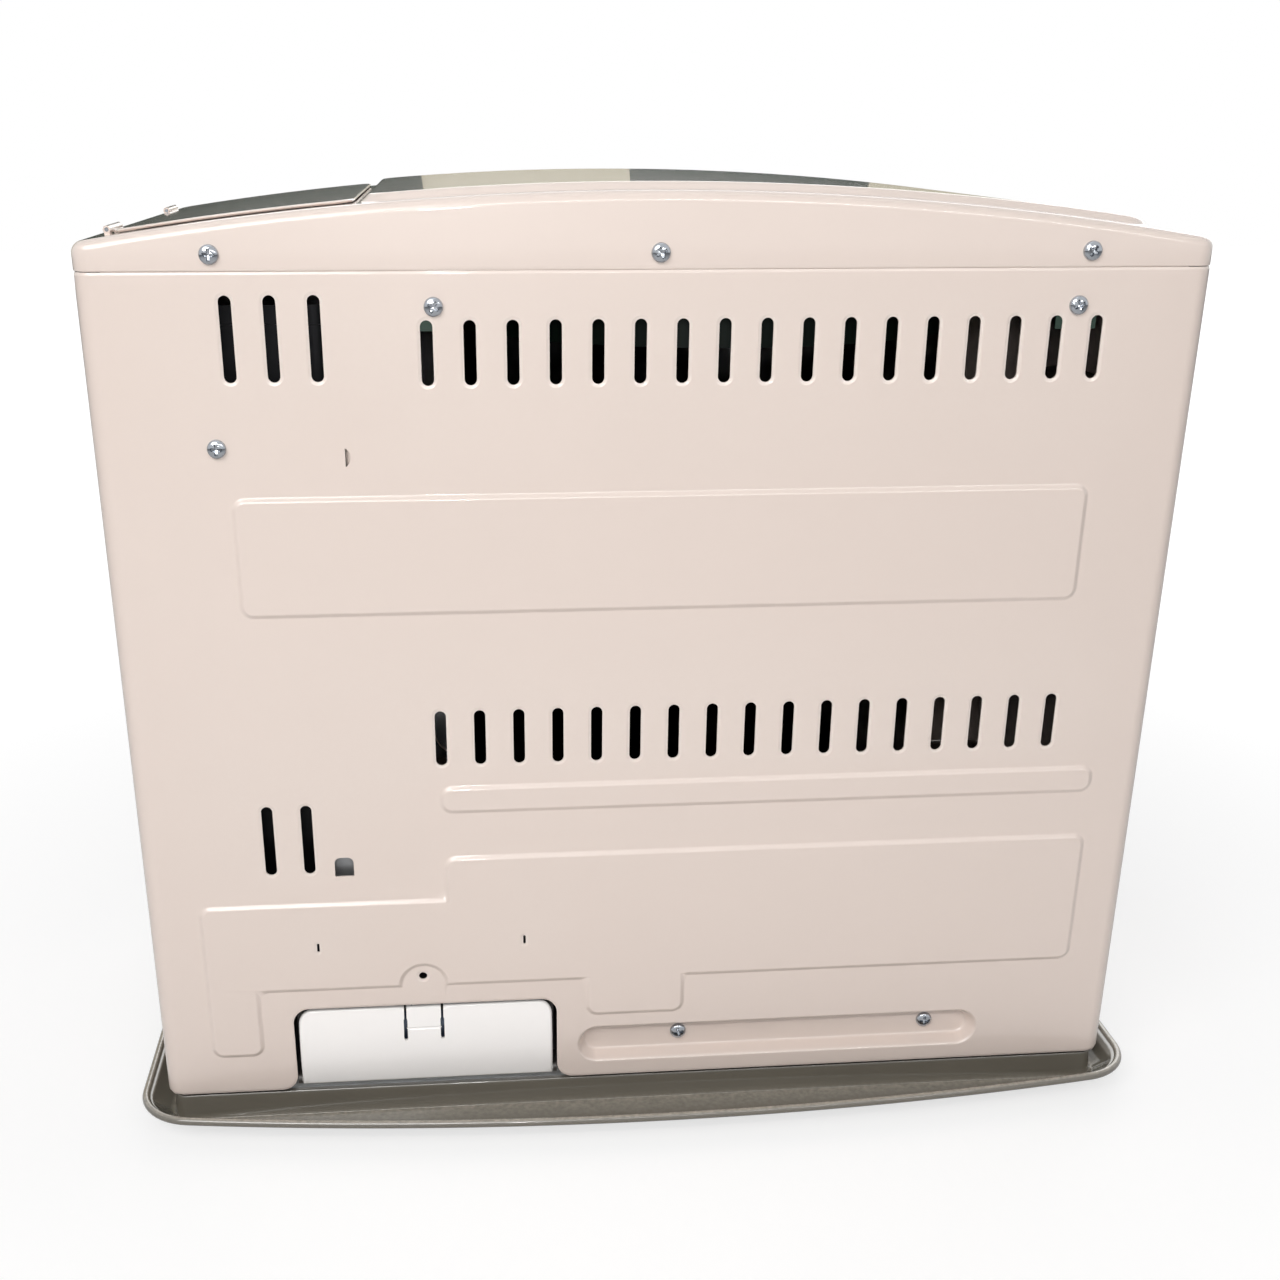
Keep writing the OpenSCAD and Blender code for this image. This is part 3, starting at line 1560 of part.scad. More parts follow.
// Wire route from the battery case to the igniter
wire_r = 1.3;
wire_points = [
    [cutout_x - 50, case_rear - case_d, base_z + 3.4],
    [cutout_x - 50, reservoir_y1 - 3, base_z + wire_r],
    [reservoir_x0 - 6, reservoir_y1 - 3, base_z + wire_r],
    [reservoir_x0 - 6, carriage_y, base_z + wire_r],
    [reservoir_x0 - 6, carriage_y, rail_z],
    [reservoir_x0 + 1, carriage_y, rail_z]
];

module igniter_wires() {
    color([0.6, 0.15, 0.12])
        for (k = [0 : len(wire_points) - 2])
            wire_run(wire_points[k], wire_points[k + 1], k > 0);
}

// Straight piece of wire with a round joint at its start
module wire_run(a, b, joint) {
    d = b - a;
    l = norm(d);
    translate(a) {
        if (joint)
            sphere(r = wire_r + 0.15, $fn = 32);
        rotate([0, acos(d[2] / l), atan2(d[1], d[0])])
            cylinder(h = l, r = wire_r, $fn = 32);
    }
}

module cartridge_tank() {
    color([0.72, 0.73, 0.74])
        difference() {
            union() {
                translate([tank_x, tank_y, tank_z])
                    linear_extrude(tank_h)
                        rounded(tank_w, tank_d, 14);
                for (z = [tank_z + 8, tank_z + tank_h - 11])
                    translate([tank_x, tank_y, z])
                        linear_extrude(3)
                            rounded(tank_w + 3, tank_d + 3, 15.5);
            }
            translate([tank_x, tank_y, tank_z + tank_t])
                linear_extrude(tank_h - 2 * tank_t)
                    rounded(tank_w - 2 * tank_t, tank_d - 2 * tank_t, 14 - tank_t);
            translate([tank_x, cap_y, tank_z - past])
                cylinder(h = 2 * past + tank_t, r = 13);
        }
}

module tank_cap() {
    color([0.2, 0.2, 0.2])
        difference() {
            translate([tank_x, cap_y, 0]) {
                translate([0, 0, tank_z - 10])
                    cylinder(h = 10, r = cap_r);
                translate([0, 0, tank_z - 26])
                    cylinder(h = 16, r = cap_r - 5);
            }
            translate([tank_x, cap_y, tank_z - 27])
                cylinder(h = 28, r = 4);
        }
}

module tank_handle() {
    z0 = tank_z + tank_h;
    color([0.2, 0.2, 0.2])
        difference() {
            block([tank_x - 10, tank_y - 48, z0], [tank_x + 10, tank_y + 48, z0 + 18]);
            along_x(tank_x - 11, tank_x + 11)
                translate([tank_y, z0 + 5])
                    rounded(80, 16, 4);
        }
}

module quake_bracket() {
    color([0.66, 0.66, 0.67]) {
        block([quake_x - 16, quake_y - 18, base_z], [quake_x + 16, quake_y + 18, base_z + 1.5]);
        for (y = [quake_y - 16, quake_y + 14.5])
            block([quake_x - 7, y, base_z], [quake_x + 7, y + 1.5, quake_pin_z + 5]);
        rod_y(quake_x, quake_pin_z, quake_y - 16, quake_y + 16, 1.5);
    }
}

module quake_weight() {
    color([0.45, 0.45, 0.46])
        difference() {
            union() {
                rod_y(quake_x, quake_pin_z, quake_y - 5, quake_y + 5, 4);
                block([quake_x - 2, quake_y - 4, quake_pin_z - 16],
                    [quake_x + 2, quake_y + 4, quake_pin_z - 2]);
                translate([quake_x, quake_y, quake_pin_z - 36])
                    cylinder(h = 22, r = 11);
            }
            rod_y(quake_x, quake_pin_z, quake_y - 6, quake_y + 6, 1.5 + run_gap);
        }
}

drip_tray();
tray_feet();
base_pan();
base_screws();
rear_panel();
rear_screws();
side_panel_left();
side_panel_right();
side_grip_left();
side_grip_right();
front_frame();
control_panel();
gauge_dial();
gauge_lens();
top_plate();
top_screws();
tank_lid();
lid_pins();
partition();
tank_bracket();
bay_floor();
fuel_reservoir();
reservoir_rails();
fuel_strainer();
burner_base();
air_tube();
flame_spreader();
wick();
wick_carrier();
wick_shaft();
wick_knob();
shaft_bush();
burner_deck();
reflector();
heat_shield();
chimney_base();
chimney_glass();
outer_flame_tube();
inner_flame_tube();
flame_tube_pins();
chimney_cap();
chimney_knob();
guard();
guard_bars();
guard_clip();
igniter_rail();
igniter_carriage();
igniter_coil();
ignition_knob();
extinguish_button();
battery_case();
battery_cover();
batteries();
battery_contacts();
igniter_wires();
cartridge_tank();
tank_cap();
tank_handle();
quake_bracket();
quake_weight();
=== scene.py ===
# %% [markdown]
# # A paraffin heater, seen from behind
# The heater is a box of enamelled sheet steel with an arched lid-like top. It stands in a
# drip tray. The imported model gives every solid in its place, in metres, with the front
# facing -Y and the back facing +Y. This lesson dresses those solids: thin pressed sheets,
# rolled rims, screws, glass, wire and enamel.

# %% Load the frame
import json
import math
import bpy
import bmesh
import numpy as np
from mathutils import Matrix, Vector, geometry


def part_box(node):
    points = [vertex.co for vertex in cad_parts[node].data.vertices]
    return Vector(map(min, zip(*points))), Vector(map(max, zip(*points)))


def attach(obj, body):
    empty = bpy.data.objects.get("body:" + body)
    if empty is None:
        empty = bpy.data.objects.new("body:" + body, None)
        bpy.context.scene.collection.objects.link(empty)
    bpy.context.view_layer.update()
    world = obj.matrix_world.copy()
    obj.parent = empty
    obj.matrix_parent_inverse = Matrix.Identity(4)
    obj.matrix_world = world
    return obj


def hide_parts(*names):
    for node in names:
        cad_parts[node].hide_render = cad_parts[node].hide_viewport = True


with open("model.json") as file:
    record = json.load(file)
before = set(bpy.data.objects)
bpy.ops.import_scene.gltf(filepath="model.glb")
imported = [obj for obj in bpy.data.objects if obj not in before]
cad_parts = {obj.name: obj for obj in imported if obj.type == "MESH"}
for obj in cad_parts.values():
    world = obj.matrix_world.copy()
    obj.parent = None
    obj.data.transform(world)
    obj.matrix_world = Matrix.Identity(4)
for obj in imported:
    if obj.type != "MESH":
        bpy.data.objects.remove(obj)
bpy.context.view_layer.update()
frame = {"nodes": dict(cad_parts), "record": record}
scene = bpy.context.scene

# %% [markdown]
# ## Camera
# The photograph looks down on the back at about 22 degrees, from a little to the tank's
# side. A fitted pinhole camera stands 0.81 m behind the tray's middle. Its small shift
# keeps the object where the photograph has it in the frame.

# %% Camera
def link(name, data):
    made = bpy.data.objects.new(name, data)
    scene.collection.objects.link(made)
    return made


camera_data = bpy.data.cameras.new("camera")
camera = link("camera", camera_data)
scene.camera = camera
camera.location = (0.09268, 0.80966, 0.47105)
camera.rotation_euler = [math.radians(a) for a in (67.5128, -0.1246, 174.8218)]
camera_data.lens = 44.082
camera_data.sensor_width = 36.0
camera_data.shift_x = 0.04052
camera_data.shift_y = 0.10602
camera_data.clip_start = 0.01
scene.view_settings.view_transform = "Standard"
print("camera lens", camera_data.lens, "mm")

# %% [markdown]
# ## Working in millimetres
# Sheet metal is drawn in millimetres, so every shape below is made in millimetres and
# scaled to metres when its mesh is written. A sheet is a list of points, their outward
# normals and faces. `weld` joins such lists, and `shell` gives the joined skin a wall, a
# rim along each open edge and exact normals, so that wide flat faces shade flat right up
# to a pressed edge.

# %% Weld and shell
MM = 0.001


def unit(v):
    return v / np.maximum(np.linalg.norm(v, axis=-1, keepdims=True), 1e-12)


def weld(parts):
    points = np.vstack([p for p, n, f in parts])
    normals = np.vstack([n for p, n, f in parts])
    key = np.round(points * 2000).astype(np.int64)
    _, first, where = np.unique(key, axis=0, return_index=True, return_inverse=True)
    where = where.ravel()
    faces, start = [], 0
    for p, n, f in parts:
        for face in f:
            ids = [where[start + i] for i in face]
            ids = [a for k, a in enumerate(ids) if a != ids[k - 1]]
            if len(ids) > 2:
                faces.append(ids)
        start += len(p)
    return points[first], unit(normals[first]), faces


def write_mesh(name, points, faces, corner_normals):
    mesh = bpy.data.meshes.new(name)
    mesh.from_pydata((points * MM).tolist(), [], faces)
    mesh.polygons.foreach_set("use_smooth", [True] * len(mesh.polygons))
    mesh.normals_split_custom_set(corner_normals)
    mesh.update()
    return mesh


def face_normal(points, face):
    a, b, c = (points[i] for i in face[:3])
    n = np.cross(b - a, c - a)
    if len(face) > 3:
        n = np.cross(points[face[2]] - a, points[face[3]] - b)
    return n / max(np.linalg.norm(n), 1e-12)


def shell(name, parts, wall, painted_light=None):
    points, normals, faces = weld(parts)
    for k, f in enumerate(faces):
        if np.dot(face_normal(points, f), normals[f].sum(0)) <= 0:
            faces[k] = f[::-1]
    directed = {(f[k - 1], f[k]) for f in faces for k in range(len(f))}
    open_edges = [(a, b) for a, b in directed if (b, a) not in directed]
    open_edges.sort()
    n = len(points)
    # Painted light: each point gets how much painted highlight or painted shade its finish mixes
    # in, kept as the `edge` attribute.
    edge = painted_light(points) if painted_light else np.zeros(n)
    points = np.vstack([points, points - wall * normals])
    inner = [[i + n for i in f[::-1]] for f in faces]
    rim = [[b, a, a + n, b + n] for a, b in open_edges]
    corner = [normals[i] for f in faces for i in f]
    corner += [-normals[i - n] for f in inner for i in f]
    corner += [face_normal(points, f) for f in rim for i in f]
    mesh = write_mesh(name, points, faces + inner + rim, corner)
    mesh.attributes.new("edge", "FLOAT", "POINT").data.foreach_set("value", np.tile(edge, 2))
    return mesh


# %% [markdown]
# ## Flat patterns
# A pressed panel starts as a flat pattern: an outline, holes, and extra points where the
# steel is bent. Blender's constrained Delaunay call turns them into triangles that keep
# each hole's edge. `pressed` then lifts the pattern with a `surface` function, and takes
# the normals from that function instead of from the triangles.

# %% Pattern helpers
def box_distance(x, z, cx, cz, w, h, r):
    qx = np.abs(x - cx) - (w / 2 - r)
    qz = np.abs(z - cz) - (h / 2 - r)
    out = np.hypot(np.maximum(qx, 0), np.maximum(qz, 0))
    return out + np.minimum(np.maximum(qx, qz), 0) - r


def box_loop(cx, cz, w, h, r, turn=8, step=12.0):
    points = []
    for k, (sx, sz) in enumerate([(1, 1), (-1, 1), (-1, -1), (1, -1)]):
        for a in np.linspace(k * math.pi / 2, (k + 1) * math.pi / 2, turn + 1):
            points.append((cx + sx * (w / 2 - r) + r * math.cos(a),
                           cz + sz * (h / 2 - r) + r * math.sin(a)))
    return spaced(points, step)


def spaced(points, step):
    out = []
    for a, b in zip(points, points[1:] + points[:1]):
        a, b = np.array(a), np.array(b)
        length = np.linalg.norm(b - a)
        if length < 1e-6:
            continue
        n = max(1, int(math.ceil(length / step)))
        out += [tuple(a + (b - a) * k / n) for k in range(n)]
    return out


def grown(box, d):
    x, z, w, h, r = box
    return x, z, w + 2 * d, h + 2 * d, r + d


def arc(cx, cz, r, start, end, turn=8):
    return [(cx + r * math.cos(a), cz + r * math.sin(a))
            for a in np.radians(np.linspace(start, end, turn + 1))]


def circle(cx, cz, r, turn):
    return arc(cx, cz, r, 0, 360, turn)[:-1]


def smooth(t):
    t = np.clip(t, 0, 1)
    return t * t * (3 - 2 * t)


def on_level(ring, distance, level):
    ring = np.array(ring, float)
    ring[np.abs(distance(ring[:, 0], ring[:, 1]) - level) > 0.15] = np.nan
    return ring


def pressed(loops, extra, keep, surface, out=1, lines=()):
    points, edges = [], []
    for loop in loops:
        first = len(points)
        points += list(loop)
        edges += [(first + k, first + (k + 1) % len(loop)) for k in range(len(loop))]
    for line in lines:
        line = np.array(line, float)
        fits = np.isfinite(line[:, 0])
        fits[fits] = keep(line[fits, 0], line[fits, 1]) < -0.12
        number = len(points) + np.cumsum(fits) - 1
        points += [tuple(p) for p in line[fits]]
        gap = np.linalg.norm(line - np.roll(line, 1, axis=0), axis=1)
        edges += [(int(number[k - 1]), int(number[k])) for k in range(len(line))
                  if fits[k - 1] and fits[k] and gap[k] < 15]
    extra = np.array(extra, float).reshape(-1, 2)
    if len(extra):
        extra = extra[keep(extra[:, 0], extra[:, 1]) < -0.12]
        points += [tuple(p) for p in extra]
    flat, _, faces, *_ = geometry.delaunay_2d_cdt([Vector(p) for p in points], edges, [], 0, 1e-3)
    flat = np.array([tuple(v) for v in flat])
    faces = np.array(faces)
    middle = flat[faces].mean(axis=1)
    faces = faces[keep(middle[:, 0], middle[:, 1]) < 0]
    u, v = flat[:, 0], flat[:, 1]
    e = 0.02
    du = surface(u + e, v) - surface(u - e, v)
    dv = surface(u, v + e) - surface(u, v - e)
    return surface(u, v), unit(np.cross(du, dv) * out), faces.tolist()


def loft(rings, closed=True, out=1):
    grid = np.array(rings, float)
    rows, cols = grid.shape[:2]
    along = np.gradient(grid, axis=0)
    if closed:
        around = np.roll(grid, -1, axis=1) - np.roll(grid, 1, axis=1)
    else:
        around = np.gradient(grid, axis=1)
    normals = unit(np.cross(around, along) * out)
    faces = []
    for r in range(rows - 1):
        for c in range(cols if closed else cols - 1):
            d = (c + 1) % cols
            faces.append([r * cols + c, r * cols + d, (r + 1) * cols + d, (r + 1) * cols + c])
    return grid.reshape(-1, 3), normals.reshape(-1, 3), faces


print("helpers ready")

# %% [markdown]
# ## Finishes
# Each finish is built from the same few parts: a slow noise that mottles the colour and
# varies the gloss, and a fine grain for the bump. Sizes are given in millimetres, so the
# grain keeps its real scale. Some sheets also carry an attribute called `edge`, where the
# finish mixes in a painted-light colour: painted highlights round the slot lips and along
# the tray's crest and rib foot, and painted shade on the reflector's back. A `Value` is a
# number in a node tree, so that sums between nodes read like sums between numbers. Every
# finish is kept in `finishes` under its name, which is also its slot's name.

# %% Node helpers
def add(tree, kind, inputs=None, **settings):
    made = tree.nodes.new(kind)
    for key, value in settings.items():
        setattr(made, key, value)
    for key, value in (inputs or {}).items():
        value = getattr(value, "socket", value)
        if isinstance(value, bpy.types.NodeSocket):
            tree.links.new(value, made.inputs[key])
        else:
            made.inputs[key].default_value = value
    return made


class Value:
    """A number in a node tree. Each sum done with it adds a Math node."""

    def __init__(self, tree, socket):
        self.tree, self.socket = tree, socket

    def calc(self, operation, other=None):
        inputs = {0: self.socket} if other is None else {0: self.socket, 1: other}
        made = add(self.tree, "ShaderNodeMath", inputs, operation=operation)
        return Value(self.tree, made.outputs[0])

    def __add__(self, other):
        return self.calc("ADD", other)

    def __sub__(self, other):
        return self.calc("SUBTRACT", other)

    def __mul__(self, other):
        return self.calc("MULTIPLY", other)

    def __truediv__(self, other):
        return self.calc("DIVIDE", other)


def split(tree, vector):
    return [Value(tree, s) for s in add(tree, "ShaderNodeSeparateXYZ", {0: vector}).outputs]


def linear(rgb, gain=1.0):
    out = []
    for c in rgb:
        c = c / 255
        out.append(gain * (c / 12.92 if c <= 0.04045 else ((c + 0.055) / 1.055) ** 2.4))
    return (*out, 1.0)


# %% One builder for all finishes
finishes = {}


def blank_material(name):
    material = bpy.data.materials.new(name)
    material.use_nodes = True
    material.node_tree.nodes.clear()
    finishes[name] = material
    return material.node_tree


def finish(name, rgb, rough, metal=0.0, mottle=0.03, mottle_mm=45.0, gloss_spread=0.05,
           grain_mm=3.0, grain_depth=0.02, stretch=(1, 1, 1), painted_light_rgb=None, scratch=0.0,
           **shader):
    tree = blank_material(name)
    where = add(tree, "ShaderNodeTexCoord").outputs["Object"]
    grain_at = add(tree, "ShaderNodeMapping", {"Vector": where, "Scale": stretch}).outputs[0]
    slow = add(tree, "ShaderNodeTexNoise", {"Vector": where, "Scale": 1000 / mottle_mm,
                                            "Detail": 5.0, "Roughness": 0.6}).outputs["Fac"]
    fine = add(tree, "ShaderNodeTexNoise", {"Vector": grain_at, "Scale": 1000 / grain_mm,
                                            "Detail": 3.0}).outputs["Fac"]
    shade = add(tree, "ShaderNodeMix", {"Factor": slow, 6: linear(rgb, 1 - mottle),
                                        7: linear(rgb, 1 + mottle)}, data_type="RGBA").outputs[2]
    gloss = add(tree, "ShaderNodeMapRange", {"Value": slow, "To Min": rough - gloss_spread,
                                             "To Max": rough + gloss_spread}).outputs[0]
    # Painted light: where a sheet's `edge` attribute is set, the colour mixes towards the given
    # painted-light colour, broken up by the grain. This paints highlights or shade into the
    # finish.
    if painted_light_rgb:
        painted_light_mark = add(tree, "ShaderNodeAttribute", attribute_name="edge").outputs["Fac"]
        shade = add(tree, "ShaderNodeMix", {"Factor": Value(tree, painted_light_mark) * fine, 6: shade,
                                            7: linear(painted_light_rgb)}, data_type="RGBA").outputs[2]
    if scratch:
        lines_at = add(tree, "ShaderNodeMapping", {"Vector": where, "Scale": (1, 1, 0.03),
                                                   "Rotation": (0.0, 0.5, 0.3)}).outputs[0]
        lines = add(tree, "ShaderNodeTexNoise", {"Vector": lines_at, "Scale": 420.0,
                                                 "Detail": 2.0})
        thin = add(tree, "ShaderNodeMapRange", {"Value": lines.outputs["Fac"], "From Min": 0.66,
                                                "From Max": 0.72, "To Max": scratch}).outputs[0]
        gloss = Value(tree, gloss) + thin
    bump = add(tree, "ShaderNodeBump", {"Height": fine, "Strength": 1.0,
                                        "Distance": grain_depth * MM})
    body = add(tree, "ShaderNodeBsdfPrincipled", {"Base Color": shade, "Roughness": gloss,
                                                  "Normal": bump.outputs[0], "Metallic": metal,
                                                  **shader})
    add(tree, "ShaderNodeOutputMaterial", {"Surface": body.outputs[0]})
    return body


# %% [markdown]
# The casing is baked enamel: a warm, very pale pink-beige with a wet gloss. Its clear
# top layer is the shader's coat. The tray has the same kind of enamel in a grey green.

# %% Finishes seen from behind
# The lighter colours given for the casing's and the tray's `edge` points are painted highlights.
finish("casing_enamel", (229, 214, 205), 0.32, mottle=0.012, mottle_mm=90, grain_mm=2.2,
       grain_depth=0.006, painted_light_rgb=(236, 226, 218), scratch=0.12,
       **{"Coat Weight": 1.0, "Coat Roughness": 0.05, "Coat IOR": 1.45})
finish("tray_enamel", (105, 100, 90), 0.24, mottle=0.06, mottle_mm=60, grain_mm=2.5,
       grain_depth=0.004, painted_light_rgb=(178, 170, 156),
       **{"Coat Weight": 1.0, "Coat Roughness": 0.03, "Coat IOR": 1.6})
finish("cover_plastic", (252, 249, 247), 0.25, mottle=0.008, mottle_mm=30,
       grain_mm=0.8, grain_depth=0.003, **{"Coat Weight": 0.3})
finish("screw_zinc", (168, 172, 178), 0.12, metal=1.0, mottle=0.1, mottle_mm=3,
       gloss_spread=0.04, grain_mm=0.4, grain_depth=0.01)
finish("galvanised_sheet", (160, 162, 164), 0.42, metal=0.9, mottle=0.16,
       mottle_mm=12, gloss_spread=0.12, grain_mm=1.2, grain_depth=0.01)
finish("shield_green", (22, 46, 35), 0.42, mottle=0.15, mottle_mm=25,
       grain_mm=1.5, grain_depth=0.01)
print("finishes:", list(finishes))

# %% [markdown]
# ## Putting a piece in the scene
# Every finished piece is a plain mesh at the origin. `place` links it, gives it the
# finish of its slot and lets it ride on its body. It also hides the solids of the
# imported model that the piece takes the place of.

# %% Place a piece
def place(name, mesh, body, slot, nodes=()):
    piece = link(name, mesh)
    mesh.materials.clear()
    mesh.materials.append(finishes[slot])
    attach(piece, body)
    if nodes:
        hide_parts(*nodes)
    print(name, len(mesh.vertices), "points", len(mesh.polygons), "faces")
    return mesh


def cad_mm(node):
    lo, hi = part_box(node)
    return np.array(lo) / MM, np.array(hi) / MM


# %% [markdown]
# ## Back panel
# The back is one pressed sheet that wraps round both upright corners. Its flat pattern
# is measured along the sheet, so the corner bends are part of the `wrap` function. The
# raised fields, the sunk channel at the foot and the soft lips of the slots are heights
# on that pattern. Slots repeat at one pitch.

# %% Back panel sizes
panel_lo, _ = cad_mm("rear_panel")
WIDE, DEEP, CORNER = 485.0, 230.0, 8.0
SIDE, REAR, FRONT, MID = WIDE / 2, 126.0, -104.0, 11.0
GROUND, SEAM = panel_lo[2], 415.7
FLAT = SIDE - CORNER
ARC = CORNER * math.pi / 2
FLANGE = 20.0 - CORNER
SHEET = 0.8
fields = [(-6, 294.9, 381.5, 52.4), (-58.6, 176.8, 316, 12.2), (-59.1, 112, 315.8, 68.8),
          (149.8, 100.9, 134, 46.6), (204.9, 82.9, 23.8, 82.4), (6.1, 78.4, 47.8, 43.2)]
field_r, field_lift, field_ramp = 5.0, 1.4, 2.8
boss = (111.6, 77.6, 11.5)
dish = (-69, 38.6, 209, 21.3)
dish_depth, dish_slope = 7.0, 4.65
cut = (111.3, 131.3, 46.2, 8.0)
slots = [(98.9 - 18.2 * k, h, 5.3, 27.0) for k in range(17) for h in (382.4, 207.8)]
slots += [(181.6 - 18.2 * k, 388.7, 5.3, 35.5) for k in range(3)]
slots += [(181.6 - 18.2 * k, 158.3, 5.3, 35.5) for k in range(2)]
pilot = (111.9, 82.3, 2.0)
slits = [(162, 101, 1.2, 4.6), (61.5, 101, 1.2, 4.6)]
print("panel", round(2 * SIDE, 1), "x", round(SEAM - GROUND, 1), "mm,", len(slots), "slots")


# %% Outline with the battery cut-out
def panel_outline():
    x, w, h, r = cut
    s = FLAT + ARC + FLANGE
    left, right = x - w / 2, x + w / 2
    points = [(-s, GROUND)]
    points += arc(left - r, GROUND + r, r, -90, 0)
    points += arc(left + r, GROUND + h - r, r, 180, 90)
    points += arc(right - r, GROUND + h - r, r, 90, 0)
    points += arc(right + r, GROUND + r, r, 180, 270)
    points += [(s, GROUND), (s, SEAM), (-s, SEAM)]
    return points


def line_distance(x, z, loop):
    inside = np.zeros(np.shape(x), bool)
    best = np.full(np.shape(x), 1e9)
    for (ax, az), (bx, bz) in zip(loop, loop[1:] + loop[:1]):
        dx, dz = bx - ax, bz - az
        t = np.clip(((x - ax) * dx + (z - az) * dz) / max(dx * dx + dz * dz, 1e-12), 0, 1)
        best = np.minimum(best, np.hypot(x - ax - t * dx, z - az - t * dz))
        if az != bz:
            crosses = (az > z) != (bz > z)
            inside ^= crosses & (x < ax + (z - az) * dx / dz)
    return np.where(inside, -best, best)


outline = panel_outline()
hook_hole = [(142.6, 138.7), (151.6, 138.7)]
hook_hole += arc(148.7, 145.7, 2.9, 0, 90) + arc(145.5, 145.7, 2.9, 90, 180)
half_hole = arc(138.0, 339.0, 4.7, 120.7, 239.3, 10)
print("outline points", len(outline))


# %% Heights of the pressings
def slot_distance(x, z):
    found = [box_distance(x, z, cx, cz, w, h, w / 2 - 0.01)
             for cx, cz, w, h in slots + slits]
    found.append(np.hypot(x - pilot[0], z - pilot[1]) - pilot[2])
    return np.minimum.reduce(found)


def panel_keep(x, z):
    holes = [slot_distance(x, z), line_distance(x, z, hook_hole),
             line_distance(x, z, half_hole)]
    return np.maximum(line_distance(x, z, outline), -np.minimum.reduce(holes))


def field_distance(x, z):
    inside = np.minimum.reduce([box_distance(x, z, *f, field_r) for f in fields])
    return np.maximum(inside, boss[2] - np.hypot(x - boss[0], z - boss[1]))


def dish_profile(t, soft=0.3):
    t = np.clip(t, 0, 1)
    k = 1 / (2 * soft * (1 - soft))
    middle = (t - soft / 2) / (1 - soft)
    return np.where(t < soft, k * t * t, np.where(t > 1 - soft, 1 - k * (1 - t) ** 2, middle))


def panel_lift(x, z):
    lift = field_lift * smooth(0.5 - field_distance(x, z) / field_ramp)
    d = box_distance(x, z, *dish, dish[3] / 2 - 0.01)
    lift = lift - dish_depth * dish_profile(-d / dish_slope)
    lift = lift - 0.45 * smooth(1 - slot_distance(x, z) / 1.6)
    return lift - 0.35 * smooth(1 + line_distance(x, z, outline) / 1.3)


def wrap(s, z, lift, front=False):
    turn = np.clip((np.abs(s) - FLAT) / CORNER, 0, math.pi / 2)
    past = np.maximum(np.abs(s) - FLAT - ARC, 0)
    reach = CORNER + lift
    x = np.minimum(np.abs(s), FLAT) + reach * np.sin(turn)
    y = REAR - CORNER + reach * np.cos(turn) - past
    if front:
        y = REAR + FRONT - y
    return np.stack([np.sign(s) * x, y, z], axis=-1)


print("lift at a field", float(panel_lift(np.array([-6.0]), np.array([294.9]))[0]), "mm")


# %% Points where the steel bends
def rings(loop, distance, levels):
    p = np.array(loop)
    t = unit(np.roll(p, -1, axis=0) - np.roll(p, 1, axis=0))
    n = np.stack([t[:, 1], -t[:, 0]], axis=1)
    found = []
    for level in levels:
        for side in (-1, 1):
            found.append(on_level(p + side * n * level, distance, level))
    return found


def panel_lines():
    found = []
    for d in (-1.5, -1.0, -0.5, 0, 0.5, 1.0, 1.5):
        for field in fields:
            ring = box_loop(*grown((*field, field_r), d), 8, 6.0)
            found.append(on_level(ring, field_distance, d))
        ring = circle(boss[0], boss[1], boss[2] - d, 60)
        found.append(on_level(ring, field_distance, d))
    for d in np.linspace(0.6, -dish_slope - 0.4, 12):
        found.append(box_loop(*grown((*dish, dish[3] / 2), d), 10, 6.0))
    for s in (-1, 1):
        for a in np.linspace(0, ARC, 9):
            z = np.arange(GROUND + 3, SEAM - 1, 8.0)
            found.append(np.stack([np.full_like(z, s * (FLAT + a)), z], axis=1))
    inside = lambda x, z: -line_distance(x, z, outline)
    return found + rings(spaced(outline, 4.0), inside, (0.4, 0.8, 1.3))


# %% Make the back panel
def panel_surface(s, z):
    return wrap(s, z, panel_lift(s, z))


slot_loops = [box_loop(x, z, w, h, w / 2 - 0.01, 7, 4.0) for x, z, w, h in slots]
slot_loops += [box_loop(x, z, w, h, 0.3, 2, 3.0) for x, z, w, h in slits]
slot_loops += [circle(*pilot, 20), spaced(hook_hole, 3.0), spaced(half_hole, 2.0)]
slot_rings = []
for loop in slot_loops[:-2]:
    slot_rings += rings(loop, slot_distance, (0.4, 0.8, 1.2, 1.7))
panel_part = pressed([spaced(outline, 5.0)] + slot_loops, [], panel_keep, panel_surface, -1,
                     panel_lines() + slot_rings)


# Painted highlight: the enamel is painted lighter round each slot, where the slot lips catch the
# light.
def panel_painted_highlight(p):
    return smooth(1 - slot_distance(p[:, 0], p[:, 2]) / 2.4)


panel_mesh = shell("back_panel", [panel_part], SHEET, panel_painted_highlight)
place("back_panel", panel_mesh, "casing", "casing_enamel", ["rear_panel"])

# %% [markdown]
# ## Arched top
# The top is one stamping: a shallow arch across the width, a raised hot plate, a mouth
# for the tank and a turned-down edge all round. Its arch is part of a circle, so the
# height is a formula, and the edge is a quarter bend lofted from the arch down to the
# seam. The bend is a little tighter at the back than at the sides.

# %% Top sizes and heights
CROWN, ARCH = 447.0, 1490.0
ARCH_Z = CROWN - ARCH
TOP_SEAM = 416.0
hot_plate = (-46, MID, 343, 220, 14)
hot_lift, hot_ramp = 3.3, 5.5
mouth = (177, MID, 94, 193, 16)


def arch(x, lift=0.0):
    return ARCH_Z + np.sqrt((ARCH + lift) ** 2 - x * x)


def top_height(x, y):
    lift = hot_lift * smooth(-box_distance(x, y, *hot_plate) / hot_ramp)
    return arch(x) + lift - 1.2 * smooth(1 - box_distance(x, y, *mouth) / 3)


def out_of_box(loop, shape):
    x, y = loop[:, 0], loop[:, 1]
    gx = box_distance(x + 0.01, y, *shape) - box_distance(x - 0.01, y, *shape)
    gy = box_distance(x, y + 0.01, *shape) - box_distance(x, y - 0.01, *shape)
    return unit(np.stack([gx, gy], axis=1))


print("arch at the sides", round(float(arch(SIDE)), 2), "mm")


